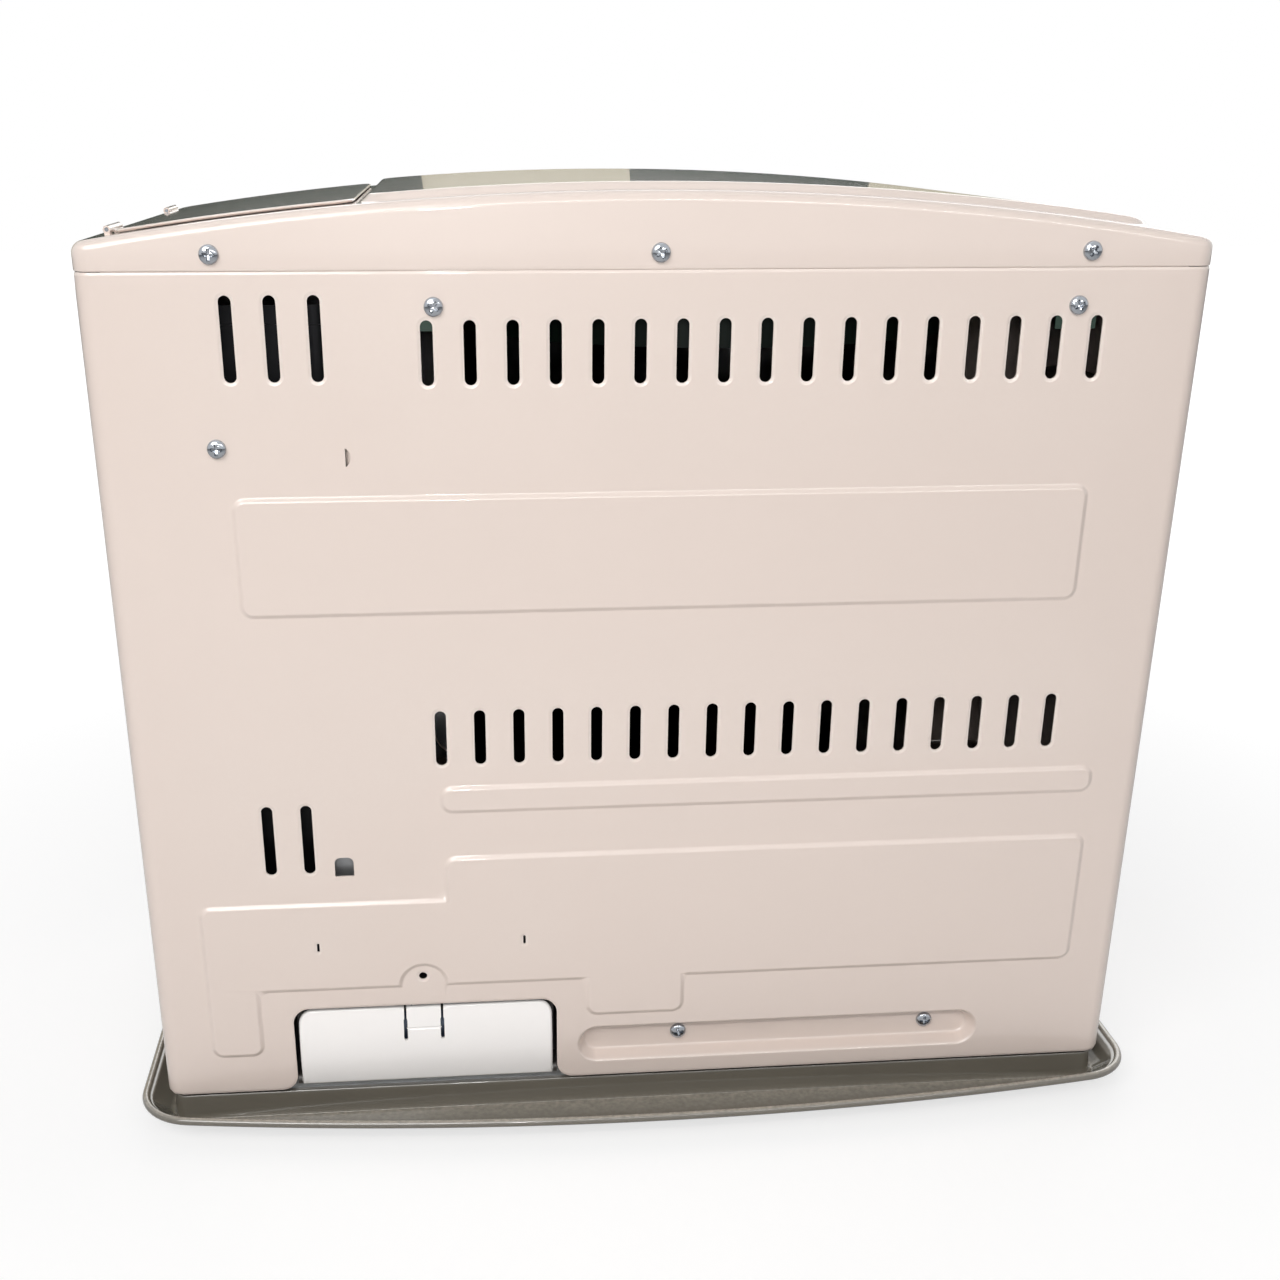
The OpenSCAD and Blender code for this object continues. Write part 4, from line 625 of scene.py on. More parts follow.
# %% Edge bend of the top
casing_shape = (0, MID, WIDE, DEEP, CORNER)
rim = np.array(box_loop(*casing_shape, 8, 10.0))
rim_out = out_of_box(rim, casing_shape)
bend = 4.5 + rim_out[:, 0] ** 2
rim_in = rim - rim_out * bend[:, None]
start = np.arctan(rim_in[:, 0] * rim_out[:, 0] / np.sqrt(ARCH ** 2 - rim_in[:, 0] ** 2))
seat = rim_in + rim_out * (bend * np.sin(start))[:, None]
bend_z = top_height(seat[:, 0], seat[:, 1]) - bend * np.cos(start)
edge_rows = []
for t in np.linspace(0, 1, 10):
    a = start + t * (math.pi / 2 - start)
    edge_rows.append(np.column_stack([rim_in + rim_out * (bend * np.sin(a))[:, None],
                                      bend_z + bend * np.cos(a)]))
for t, back in ((0.35, 0), (0.7, 0), (0.93, 0), (0.97, 0.1), (1.0, 0.35)):
    edge_rows.append(np.column_stack([rim - rim_out * back, bend_z + (TOP_SEAM - bend_z) * t]))

# %% Make the top
seat_loop = [tuple(p) for p in seat]
mouth_loop = box_loop(*mouth, 10, 6.0)


def top_keep(x, y):
    return np.maximum(line_distance(x, y, seat_loop), -box_distance(x, y, *mouth))


def top_surface(x, y):
    return np.stack([x, y, top_height(x, y)], axis=-1)


grid_x, grid_y = np.meshgrid(np.arange(-232, 236, 12.0), np.arange(-96, 122, 16.0))
grid = np.stack([grid_x.ravel(), grid_y.ravel()], axis=1)
top_extra = grid[np.abs(box_distance(grid[:, 0], grid[:, 1], *hot_plate) + 3) > 6]
top_lines = []
for d in np.arange(-0.4, hot_ramp + 0.8, 0.6):
    top_lines.append(box_loop(*grown(hot_plate, -d), 12, 8.0))
for d in (0.6, 1.2, 1.8, 2.6, 3.4):
    top_lines.append(box_loop(*grown(mouth, d), 10, 6.0))
plate = pressed([seat_loop, mouth_loop], top_extra, top_keep, top_surface, 1, top_lines)
top_mesh = shell("arched_top", [plate, loft(edge_rows, True, -1)], SHEET)
place("arched_top", top_mesh, "casing", "casing_enamel", ["top_plate"])

# %% [markdown]
# ## Solid bits
# Small turned and block-shaped parts need no formula for their normals. `solid` joins
# closed shapes in one mesh, turns their faces outwards, and keeps an edge sharp where
# it is steeper than 35 degrees.

# %% Solid, turned and bar helpers
def solid(name, shapes, sharp=35):
    bm = bmesh.new()
    for points, faces in shapes:
        verts = [bm.verts.new([float(c) * MM for c in p]) for p in points]
        for face in faces:
            bm.faces.new([verts[i] for i in face])
    bmesh.ops.remove_doubles(bm, verts=bm.verts, dist=1e-7)
    bmesh.ops.recalc_face_normals(bm, faces=bm.faces)
    mesh = bpy.data.meshes.new(name)
    bm.to_mesh(mesh)
    bm.free()
    mesh.polygons.foreach_set("use_smooth", [True] * len(mesh.polygons))
    mesh.set_sharp_from_angle(angle=math.radians(sharp))
    return mesh


def turned(profile, at, axis="Z", steps=32, ring=False):
    order = {"X": (2, 0, 1), "Y": (1, 2, 0), "Z": (0, 1, 2)}[axis]
    points, rows = [], []
    for r, t in profile:
        count = 1 if r < 1e-6 else steps
        row = []
        for k in range(count):
            a = 2 * math.pi * k / steps
            local = (r * math.cos(a), r * math.sin(a), t)
            row.append(len(points))
            points.append([at[i] + local[order[i]] for i in range(3)])
        rows.append(row)
    if ring:
        rows.append(rows[0])
    faces = []
    for a, b in zip(rows, rows[1:]):
        for k in range(steps):
            j = (k + 1) % steps
            face = [a[k % len(a)], a[j % len(a)], b[j % len(b)], b[k % len(b)]]
            face = [v for i, v in enumerate(face) if v != face[i - 1]]
            if len(face) > 2:
                faces.append(face)
    return points, faces


def bar(lo, hi, ease=0.0):
    (x0, y0, z0), (x1, y1, z1) = lo, hi
    e = min(ease, (x1 - x0) / 3, (y1 - y0) / 3, (z1 - z0) / 3)
    if e <= 0:
        points = [(x, y, z) for x in (x0, x1) for y in (y0, y1) for z in (z0, z1)]
        return points, [[0, 1, 3, 2], [4, 6, 7, 5], [0, 4, 5, 1], [2, 3, 7, 6], [0, 2, 6, 4],
                        [1, 5, 7, 3]]
    bm = bmesh.new()
    bmesh.ops.create_cube(bm, size=1.0)
    for v in bm.verts:
        v.co = [(a + b) / 2 + c * (b - a) for a, b, c in zip(lo, hi, v.co)]
    bmesh.ops.bevel(bm, geom=bm.edges, offset=e, segments=2, profile=0.5, affect="EDGES")
    bm.verts.index_update()
    shape = [tuple(v.co) for v in bm.verts], [[v.index for v in f.verts] for f in bm.faces]
    bm.free()
    return shape


# %% Strip behind the rear seam and the half-cut lug
lug = [(135.5 + (x - 135.6) * 0.97, z) for x, z in half_hole]
lug_y = [124.9 - 1.6 * (x - 133.3) / 2.3 for x, z in lug]
lug_points = [(x, y, z) for (x, z), y in zip(lug, lug_y)]
lug_points += [(x, y - 0.7, z) for x, y, z in lug_points]
n = len(lug)
lug_faces = [list(range(n)), list(range(2 * n - 1, n - 1, -1))]
lug_faces += [[k, (k + 1) % n, n + (k + 1) % n, n + k] for k in range(n)]
STRIP_X, STRIP_LOW, STRIP_HIGH = 230.5, 407.2, 424.6
backing = [bar((-STRIP_X, 124.3, STRIP_LOW), (STRIP_X, 125.1, STRIP_HIGH)),
           (lug_points, lug_faces)]
place("rear_seam_strip", solid("rear_seam_strip", backing), "casing", "casing_enamel")

# %% [markdown]
# ## Tank lid
# The lid is a thin leaf with the arch of the top, a soft edge and two hinge barrels at
# the casing's side. The barrels turn between ears that stand on the top.

# %% Make the lid and its hinges
leaf = (176.75, MID, 99.5, 199, 8)
leaf_loop = box_loop(*leaf, 10, 8.0)


def leaf_surface(x, y):
    t = np.clip(1 + box_distance(x, y, *leaf) / 1.4, 0, 1)
    return np.stack([x, y, arch(x, 1.6) - 0.9 * (1 - np.sqrt(1 - 0.96 * t * t))], axis=-1)


leaf_lines = []
for d in (0.15, 0.4, 0.7, 1.1, 1.5, 2.2):
    leaf_lines.append(box_loop(*grown(leaf, -d), 10, 8.0))
leaf_part = pressed([leaf_loop], grid, lambda x, y: box_distance(x, y, *leaf), leaf_surface, 1,
                    leaf_lines)
place("tank_lid_leaf", shell("tank_lid_leaf", [leaf_part], 1.0), "lid", "casing_enamel",
      ["tank_lid"])
HINGE = (230.0, 431.142)
barrel = [(0.9, -7), (1.4, -7), (1.6, -6.8), (1.6, 6.8), (1.4, 7), (0.9, 7)]
ear = [(0.87, -3.5), (1.4, -3.5), (1.6, -3.3), (1.6, 3.3), (1.4, 3.5), (0.87, 3.5)]
barrels, ears = [], []
for y in (-68.5, 90.5):
    barrels.append(turned(barrel, (HINGE[0], y, HINGE[1]), "Y", 24, True))
    barrels.append(bar((225.2, y - 6.8, 429.7), (229.2, y + 6.8, 430.7), 0.25))
    for s in (-1, 1):
        e = y + s * 10.9
        ears.append(turned(ear, (HINGE[0], e, HINGE[1]), "Y", 24, True))
        ears.append(bar((HINGE[0] - 1.15, e - 3.4, 428.4), (HINGE[0] + 1.15, e + 3.4, 430.2),
                        0.25))
place("lid_hinge_barrels", solid("lid_hinge_barrels", barrels), "lid", "casing_enamel")
place("lid_hinge_ears", solid("lid_hinge_ears", ears), "casing", "casing_enamel")

# %% [markdown]
# ## Drip tray
# The tray is pressed from one thick sheet: a rolled bead whose front and back bow out, a
# wide slope, a flat floor and a raised rib that the casing stands on. The bead is one
# profile carried round the outline. Slope, floor and rib are one height: whichever of
# slope and rib is higher, because they run into each other at the sides.

# %% Tray outline and bead profile
TRAY_W, TRAY_D, TRAY_R, TRAY_BOW = 513.0, 324.0, 30.0, 1609.0
FLOOR = 4.2


def tray_loop(inset, z):
    r, big = TRAY_R - inset, TRAY_BOW - inset
    cx = TRAY_W / 2 - TRAY_R
    cy = TRAY_D / 2 - TRAY_BOW
    lean = math.asin(cx / (TRAY_BOW - TRAY_R))
    corner_y = cy + (TRAY_BOW - TRAY_R) * math.cos(lean)
    quarter = [(cx + r * math.cos(a), corner_y + r * math.sin(a))
               for a in np.linspace(0, math.pi / 2 - lean, 13)]
    bow = [(big * math.sin(a), cy + big * math.cos(a))
           for a in np.linspace(lean, -lean, 53)[1:-1]]
    half = quarter + bow + [(-x, y) for x, y in quarter[::-1]]
    side = [(-cx - r, y) for y in np.linspace(corner_y, -corner_y, 25)[1:-1]]
    whole = half + side
    whole += [(-x, -y) for x, y in half + side]
    return np.array([(x, y, z) for x, y in whole])


bead = [(2.0 + 2.0 * math.cos(a), 16.0 + 2.0 * math.sin(a))
        for a in np.radians(np.linspace(285, 60, 15))] + [(3.6, 16.9), (4.3, 15.9)]
tray_rows = [tray_loop(d, z) for d, z in bead]
print("tray bead", len(bead), "rows of", len(tray_rows[0]), "points")

# %% Slope, floor and rib as one surface
rib_out = (0, MID, 483, 228, 8)
rib_in = (0, MID, 431, 176, 8)
rib_rise, rib_wall = 13.0, 2.4
slope_at = [4.3, 15.9, 16.4, 17.2, 18.2]
slope_z = [15.9, 5.45, 4.75, 4.35, FLOOR]
rim_line = [tuple(p[:2]) for p in tray_loop(0.0, 0.0)]


def slope_height(x, y):
    d = -line_distance(x, y, rim_line)
    return np.interp(np.where(np.abs(d - 4.3) < 0.08, 4.3, d), slope_at, slope_z)


def rib_height(x, y):
    into = np.minimum(-box_distance(x, y, *rib_out), box_distance(x, y, *rib_in))
    return FLOOR + rib_rise * dish_profile(into / rib_wall, 0.35)


def tray_surface(x, y):
    return np.stack([x, y, np.maximum(slope_height(x, y), rib_height(x, y))], axis=-1)


# Painted highlight: the tray is painted lighter along the bead's crest and the rib's foot.
def tray_painted_highlight(p):
    crest = smooth((p[:, 2] - 17.3) / 0.5)
    from_rib = np.abs(box_distance(p[:, 0], p[:, 1], *rib_out) - 0.4)
    return np.maximum(crest, smooth(1 - from_rib / 1.2) * (p[:, 2] < 9))


floor_loop = [tuple(p[:2]) for p in tray_rows[-1]]
floor_lines = []
for d in (5.5, 7.5, 10, 13, 15.4, 15.9, 16.4, 17.2, 18.2, 20.5):
    line = tray_loop(d, 0.0)[:, :2]
    line[rib_height(line[:, 0], line[:, 1]) > slope_height(line[:, 0], line[:, 1]) + 0.5] = np.nan
    floor_lines.append(line)
for rib, sign in ((rib_out, 1), (rib_in, -1)):
    for d in np.linspace(-0.3, rib_wall + 0.5, 12):
        x, y, w, h, r = grown(rib, -sign * d)
        floor_lines.append(box_loop(x, y, w, h, max(r, 0.5), 8, 9.0))
floor_part = pressed([floor_loop], [], lambda x, y: line_distance(x, y, floor_loop),
                     tray_surface, 1, floor_lines)
tray_mesh = shell("enamelled_tray", [floor_part, loft(tray_rows, True, 1)], 1.0, tray_painted_highlight)
place("enamelled_tray", tray_mesh, "casing", "tray_enamel", ["drip_tray"])

# %% [markdown]
# ## Battery cover
# A white moulding snaps into the cut-out. Its face bows out a little, its edges are
# rounded, and two slits in the top edge free the tongue that springs when it is opened.

# %% Make the battery cover
COVER_X, COVER_W, COVER_Z, COVER_H = 111.3, 126.5, 22.4, 41.4
SLIT = 0.95
slit_x = [COVER_X + 1.2 + s * 9.2 for s in (-1, 1)]


def cover_outline():
    l, r = COVER_X - COVER_W / 2, COVER_X + COVER_W / 2
    top = COVER_Z + COVER_H
    points = [(l + 1, COVER_Z), (r - 1, COVER_Z)] + arc(r - 1, COVER_Z + 1, 1, -90, 0, 3)[1:]
    points += arc(r - 7, top - 7, 7, 0, 90)
    for x in slit_x[::-1]:
        slit = [(0.6, top), (0.6, top - 6), (SLIT, top - 7), (SLIT, top - 16.3)]
        points += [(x + a, b) for a, b in slit]
        points += arc(x, top - 16.3, SLIT, 0, -180, 6)[1:-1]
        points += [(x - a, b) for a, b in slit[::-1]]
    points += arc(l + 7, top - 7, 7, 90, 180) + arc(l + 1, COVER_Z + 1, 1, 180, 270, 3)[:-1]
    return points


cover_loop = spaced(cover_outline(), 3.0)
whole_cover = (COVER_X, COVER_Z + COVER_H / 2, COVER_W, COVER_H, 7)


def cover_surface(x, z):
    bow = 57.6 + np.sqrt(70.0 ** 2 - (z - 38) ** 2)
    low = np.where(z < 44, np.minimum(COVER_W / 2 - np.abs(x - COVER_X), z - COVER_Z), 99)
    d = np.minimum(np.maximum(-box_distance(x, z, *whole_cover), np.where(z < 44, low, -99)), 99)
    t = np.clip(1 - d / 1.6, 0, 1)
    ridge = 0.4 * smooth(1 - np.abs(z - 52.6) / 0.9) * smooth((7.9 - np.abs(x - 112.5)) / 0.6)
    return np.stack([x, bow - ridge - 1.5 * (1 - np.sqrt(1 - 0.97 * t * t)), z], axis=-1)


def from_cover(x, z):
    return line_distance(x, z, cover_loop)


cover_lines = rings(cover_loop, lambda x, z: -from_cover(x, z), (0.3, 0.6, 1.0, 1.4, 2.0))
for z in (51.7, 52.1, 52.6, 53.1, 53.5):
    cover_lines.append([(x, z) for x in np.linspace(104.9, 120.1, 14)])
cover_x, cover_z = np.meshgrid(np.arange(52, 172, 6.0), np.arange(25, 63, 3.0))
cover_grid = np.stack([cover_x.ravel(), cover_z.ravel()], axis=1)
cover_part = pressed([cover_loop], cover_grid, from_cover, cover_surface, -1, cover_lines)
place("white_battery_cover", shell("white_battery_cover", [cover_part], 1.8),
      "battery_door", "cover_plastic", ["battery_cover"])


# %% Cheeks and pivots of the cover
def extruded(outline_yz, x0, x1):
    n = len(outline_yz)
    points = [(x, y, z) for x in (x0, x1) for y, z in outline_yz]
    faces = [list(range(n)), list(range(2 * n - 1, n - 1, -1))]
    return points, faces + [[k, (k + 1) % n, n + (k + 1) % n, n + k] for k in range(n)]


cheek = [(121.6, 22.5)] + [(57.6 + math.sqrt(68.6 ** 2 - (z - 38) ** 2), z)
                           for z in np.linspace(22.5, 55.6, 12)] + [(123.0, 55.6), (121.6, 54.2)]
cheeks = []
for side in (-1, 1):
    edge_x = COVER_X + side * COVER_W / 2
    ends = sorted((edge_x - side * 0.15, edge_x - side * 1.9))
    cheeks.append(extruded(cheek, *ends))
    pin = [(0.0, -0.6), (1.2, -0.6), (1.5, -0.3), (1.5, 2.4), (0.0, 2.4)]
    pin = [(r, -side * t) for r, t in pin]
    cheeks.append(turned(pin, (edge_x + side * 0.6, 123.4, 25.0), "X", 20))
place("battery_cover_cheeks", solid("battery_cover_cheeks", cheeks), "battery_door",
      "cover_plastic")

# %% [markdown]
# ## Screws
# All the screws are the same zinc pan head with a cross recess, so one head is modelled
# and Geometry Nodes puts it on a point for each screw, with a random turn. The head's
# crown is a small flat pattern with the recess as a height, closed below by a skirt
# and a shank. `new_group` opens a node group, `end_group` closes it, and `place_baked`
# runs it once and places the plain mesh that comes out.

# %% One pan head, facing +Y
HEAD_R, HEAD_H = 4.1, 2.6
ARM_HALF, ARM_REACH = 0.66, 2.3


def crown_height(u, v):
    r2 = np.minimum((u * u + v * v) / HEAD_R ** 2, 0.999)
    dome = 0.75 + (HEAD_H - 0.75) * np.sqrt(1 - r2) ** 0.9
    arms = []
    for a, b in ((u, v), (v, u)):
        wall = np.minimum(ARM_HALF - np.abs(a), ARM_REACH - np.abs(b))
        arms.append(np.clip(wall / 0.2, 0, 1) * (1.95 - 0.5 * np.abs(b)))
    return dome - np.clip(np.maximum(*arms), 0, 1.8)


def screw_head(name):
    reach = 3.75
    extra = []
    for r in (0.9, 1.8, 2.7, 3.3):
        extra += arc(0, 0, r, 5, 365, 20)[:-1]
    for inset in (0.0, 0.2):
        w, l = ARM_HALF - inset, ARM_REACH - inset
        for turn in range(4):
            c, s = round(math.cos(turn * math.pi / 2)), round(math.sin(turn * math.pi / 2))
            for u, v in ((w, w), (l, w), (l, -w), (l, 0), (1.4, w), (1.4, -w)):
                extra.append((c * u - s * v, s * u + c * v))
    extra.append((0.01, 0.0))
    points, _, faces = pressed([circle(0, 0, reach, 28)], extra,
                               lambda u, v: np.hypot(u, v) - reach,
                               lambda u, v: np.stack([u, crown_height(u, v), v], axis=-1))
    edge = [(reach, float(crown_height(np.array(reach), np.array(0.0)))), (4.0, 1.15),
            (HEAD_R, 0.6), (HEAD_R, 0.0), (2.0, 0.0), (2.0, -5.6), (1.4, -6.0), (0.0, -6.0)]
    skirt = turned(edge, (0, 0, 0), "Y", 28)
    return solid(name, [(points.tolist(), faces), skirt], 30)


head = link("pan_head", screw_head("pan_head"))
print("pan head faces", len(head.data.polygons))


# %% A node group that sets a part on each point
def new_group(name, *inputs):
    group = bpy.data.node_groups.new(name, "GeometryNodeTree")
    for way in ("INPUT", "OUTPUT"):
        group.interface.new_socket("Geometry", in_out=way, socket_type="NodeSocketGeometry")
    for label, kind, value in inputs:
        socket = group.interface.new_socket(label, in_out="INPUT", socket_type="NodeSocket" + kind)
        if value is not None:
            socket.default_value = value
    given = group.nodes.new("NodeGroupInput").outputs
    return group, {s.name: Value(group, s) for s in given if s.name}


def end_group(group, geometry, given=None, smooth=False):
    if given:
        geometry = add(group, "GeometryNodeRealizeInstances", {"Geometry": geometry}).outputs[0]
        if smooth:
            geometry = add(group, "GeometryNodeSetShadeSmooth", {"Geometry": geometry}).outputs[0]
        geometry = add(group, "GeometryNodeSetMaterial", {"Geometry": geometry,
                                                          "Material": given["Finish"]}).outputs[0]
    group.links.new(geometry, group.nodes.new("NodeGroupOutput").inputs[0])
    print("node group", group.name)


def points_mesh(places):
    mesh = bpy.data.meshes.new("points")
    mesh.from_pydata([[c * MM for c in p] for p in places], [], [])
    return mesh


def place_baked(name, group, values, body, slot, nodes=(), places=((0, 0, 0),)):
    values = {**values, "Finish": finishes[slot]}
    carrier = link(name + "_carrier", points_mesh(places))
    layer = carrier.modifiers.new(name, "NODES")
    layer.node_group = group
    for item in group.interface.items_tree:
        if item.item_type == "SOCKET" and item.in_out == "INPUT" and item.name in values:
            layer[item.identifier] = values[item.name]
    bpy.context.view_layer.update()
    graph = bpy.context.evaluated_depsgraph_get()
    mesh = bpy.data.meshes.new_from_object(carrier.evaluated_get(graph), depsgraph=graph)
    mesh.name = name
    carrier.modifiers.clear()
    bpy.data.objects.remove(carrier)
    return place(name, mesh, body, slot, nodes)


setter, given = new_group(
    "part_on_each_point", ("Part", "Object", None), ("Least turn", "Vector", (0, 0, 0)),
    ("Most turn", "Vector", (0, 0, 0)), ("Seed", "Int", 3), ("Finish", "Material", None))
part = add(setter, "GeometryNodeObjectInfo", {"Object": given["Part"]})
turn = add(setter, "FunctionNodeRandomValue", {0: given["Least turn"], 1: given["Most turn"],
                                               "Seed": given["Seed"]}, data_type="FLOAT_VECTOR")
placed = add(setter, "GeometryNodeInstanceOnPoints", {"Points": given["Geometry"],
                                                      "Instance": part.outputs["Geometry"],
                                                      "Rotation": turn.outputs[0]})
end_group(setter, placed.outputs[0], given)

# %% Set the screws
channel = REAR - dish_depth
screw_places = {
    "back_screws": ([(95.6, REAR, 401.4), (-182.8, REAR, 400.2), (189.8, REAR, 343.5),
                     (-17.3, channel, 40.2), (-147.0, channel, 40.2)], "rear_screws"),
    "top_edge_screws": ([(x, REAR, 422.6) for x in (-186.2, 0.0, 186.2)], "top_screws"),
}
for name, (places, node) in screw_places.items():
    place_baked(name, setter, {"Part": head, "Most turn": (0.0, 6.28, 0.0), "Seed": 5}, "casing",
                "screw_zinc", [node], places)
bpy.data.objects.remove(head)

# %% [markdown]
# ## Finishes of the carried-over solids
# The parts inside and in front get finishes of their own, made by the same builder:
# plated wire, tinned and galvanised steel, heat-tinted flame tubes, glass fibre, plastics
# and rubber. The gauge's ticks and hand are drawn on its dial by sums on the distance and
# the turn from the dial's middle.

# %% Finishes for the works
def clear_glass(name, tint, rough):
    tree = blank_material(name)
    where = add(tree, "ShaderNodeTexCoord").outputs["Object"]
    wave = add(tree, "ShaderNodeTexNoise", {"Vector": where, "Scale": 25.0, "Detail": 1.0})
    bump = add(tree, "ShaderNodeBump", {"Height": wave.outputs["Fac"], "Distance": 0.0002,
                                        "Strength": 0.5})
    body = add(tree, "ShaderNodeBsdfPrincipled", {"Base Color": tint, "Roughness": rough,
                                                  "IOR": 1.47, "Transmission Weight": 1.0,
                                                  "Normal": bump.outputs[0]})
    lit = add(tree, "ShaderNodeBsdfTransparent", {"Color": tint})
    shadow = add(tree, "ShaderNodeLightPath").outputs["Is Shadow Ray"]
    mix = add(tree, "ShaderNodeMixShader", {0: shadow, 1: body.outputs[0], 2: lit.outputs[0]})
    add(tree, "ShaderNodeOutputMaterial", {"Surface": mix.outputs[0]})


finish("dark_plastic", (58, 55, 52), 0.42, mottle=0.04, grain_mm=0.7, grain_depth=0.02)
finish("grip_plastic", (92, 84, 78), 0.45, mottle=0.04, grain_mm=0.7, grain_depth=0.02)
finish("control_enamel", (110, 99, 90), 0.4, mottle=0.03, grain_mm=1.2, grain_depth=0.01,
       **{"Coat Weight": 0.2})
finish("foot_rubber", (30, 30, 30), 0.75, mottle=0.1, grain_mm=0.6, grain_depth=0.04)
finish("reservoir_steel", (176, 170, 154), 0.38, metal=0.9, mottle=0.12, mottle_mm=20,
       grain_mm=1.0)
finish("burner_steel", (142, 142, 143), 0.45, metal=0.9, mottle=0.15, mottle_mm=15, grain_mm=0.8)
finish("wick_felt", (236, 233, 224), 0.95, mottle=0.06, mottle_mm=2, grain_mm=0.5,
       grain_depth=0.12, stretch=(1, 1, 2.5))
finish("bush_brass", (206, 168, 92), 0.3, metal=1.0, mottle=0.08, grain_mm=0.4)
# The reflector's dark colour for its `edge` points is painted shade on its back.
finish("reflector_bright", (222, 224, 226), 0.16, metal=1.0, mottle=0.02, mottle_mm=80,
       gloss_spread=0.03, grain_mm=40, grain_depth=0.05, painted_light_rgb=(34, 32, 30))
finish("flame_steel", (128, 112, 104), 0.42, metal=0.85, mottle=0.25, mottle_mm=22,
       gloss_spread=0.12, grain_mm=0.8)
finish("guard_chrome", (186, 189, 194), 0.16, metal=1.0, mottle=0.05, mottle_mm=10, grain_mm=1.5,
       grain_depth=0.006)
finish("coil_wire", (206, 192, 180), 0.35, metal=1.0, mottle=0.1, mottle_mm=2, grain_mm=0.3)
finish("button_red", (196, 52, 40), 0.3, mottle=0.03, grain_mm=0.8, grain_depth=0.006)
finish("cell_jacket", (64, 76, 96), 0.35, metal=0.3, mottle=0.05, mottle_mm=12)
finish("wire_cover", (150, 40, 32), 0.55, mottle=0.05, grain_mm=0.6)
# The tank steel is near black: painted shade, for the dark inside seen through the back slots.
finish("tank_steel", (40, 40, 43), 0.36, metal=0.7, mottle=0.2, mottle_mm=9, gloss_spread=0.12,
       grain_mm=1.2)
finish("weight_iron", (116, 116, 118), 0.5, metal=0.8, mottle=0.15, mottle_mm=8)


def dial_face(name, middle_x, middle_z):
    body = finish(name, (240, 240, 236), 0.6, mottle=0.01, grain_mm=0.5, grain_depth=0.01)
    tree = body.id_data
    plain = body.inputs["Base Color"].links[0].from_socket
    where = add(tree, "ShaderNodeTexCoord").outputs["Object"]
    at = add(tree, "ShaderNodeVectorMath", {0: where, 1: (middle_x, 0.0, middle_z)},
             operation="SUBTRACT")
    across, _, up = split(tree, at.outputs[0])
    reach = (across * across + up * up).calc("SQRT")
    turn = across.calc("ARCTAN2", up)
    tick_gap, tick_half, ring_r, ring_half, last_turn = math.pi / 12, 0.0003, 0.0115, 0.0011, 2.1
    hand_turn, hand_half, hand_length = -0.6, 0.0004, 0.0098
    tick = (turn.calc("PINGPONG", tick_gap) * reach).calc("LESS_THAN", tick_half)
    ring = (reach - ring_r).calc("ABSOLUTE").calc("LESS_THAN", ring_half)
    upper = turn.calc("ABSOLUTE").calc("LESS_THAN", last_turn)
    ink = tick * ring * upper
    hand = ((turn - hand_turn) * reach).calc("ABSOLUTE").calc("LESS_THAN", hand_half)
    hand = hand * reach.calc("LESS_THAN", hand_length)
    marked = add(tree, "ShaderNodeMix", {"Factor": ink.calc("MAXIMUM", hand), 6: plain,
                                         7: linear((32, 30, 30))}, data_type="RGBA")
    tree.links.new(marked.outputs[2], body.inputs["Base Color"])


GAUGE_X, CONTROL_Z = 189, 70
dial_face("dial_white", GAUGE_X / 1000, CONTROL_Z / 1000)
clear_glass("chimney_glass", (0.93, 0.97, 0.97, 1.0), 0.02)
clear_glass("gauge_clear", (0.95, 0.97, 0.98, 1.0), 0.03)

print("finishes for the works ready:", len(finishes), "in all")

# %% [markdown]
# ## Side grips
# Each side has a moulded cup to lift the heater by. It is a tray with a round rim that
# sits on the sheet, drafted walls and a soft bottom corner. The rows of its walls are
# rounded boxes, and a flat pattern closes the bottom.

# %% Make the grips
grip_rows = [(51, 17, 13, 0.0), (51, 17, 13, 0.9), (50.6, 16.6, 12.6, 1.35), (50, 16, 12, 1.5),
             (47.4, 13.4, 9.4, 1.5), (46.6, 12.6, 8.6, 1.2), (46.2, 12.2, 8.2, 0.6),
             (46.0, 12.0, 8.0, -0.4), (45.4, 11.4, 7.4, -9.2), (44.9, 10.9, 6.9, -11.0),
             (43.6, 9.6, 5.6, -12.1), (42.0, 8.0, 4.0, -12.4)]
GRIP_Z = 340.0
for side, name in ((-1, "left"), (1, "right")):
    rows = []
    for a, b, r, out in grip_rows:
        loop = np.array(box_loop(MID, GRIP_Z, 2 * a, 2 * b, r, 8, 7.0))
        rows.append(np.column_stack([np.full(len(loop), side * (SIDE + out)), loop]))
    base = [tuple(q[1:]) for q in rows[-1]]
    floor_at = side * (SIDE + grip_rows[-1][3])
    bottom = pressed([base], [], lambda y, z: line_distance(y, z, base),
                     lambda y, z: np.stack([np.full_like(y, floor_at), y, z], axis=-1), side)
    wall = loft(rows, True, side)
    grip = "side_grip_" + name
    place(grip + "_cup", shell(grip + "_cup", [wall, bottom], 1.5), "casing", "grip_plastic",
          [grip])

# %% [markdown]
# ## Front frame
# The front is one sheet with a large window. It wraps round the upright corners as the
# back does, and its window edge is turned in. Two small tabs carry the guard's hinge
# rod, so the sheet is made in the flat like the back panel.

# %% Make the front frame
window = (-46, 256, 300, 288, 14)
FRAME_Z = 108.3
FRAME_EDGE = FLAT + ARC + FLANGE - 0.3


def front_lift(s, z):
    return -1.6 * smooth(1 - box_distance(s, z, *window) / 2.6) ** 2


def front_keep(s, z):
    inside = np.maximum(np.abs(s) - FRAME_EDGE, np.maximum(FRAME_Z - z, z - SEAM))
    return np.maximum(inside, -box_distance(s, z, *window))


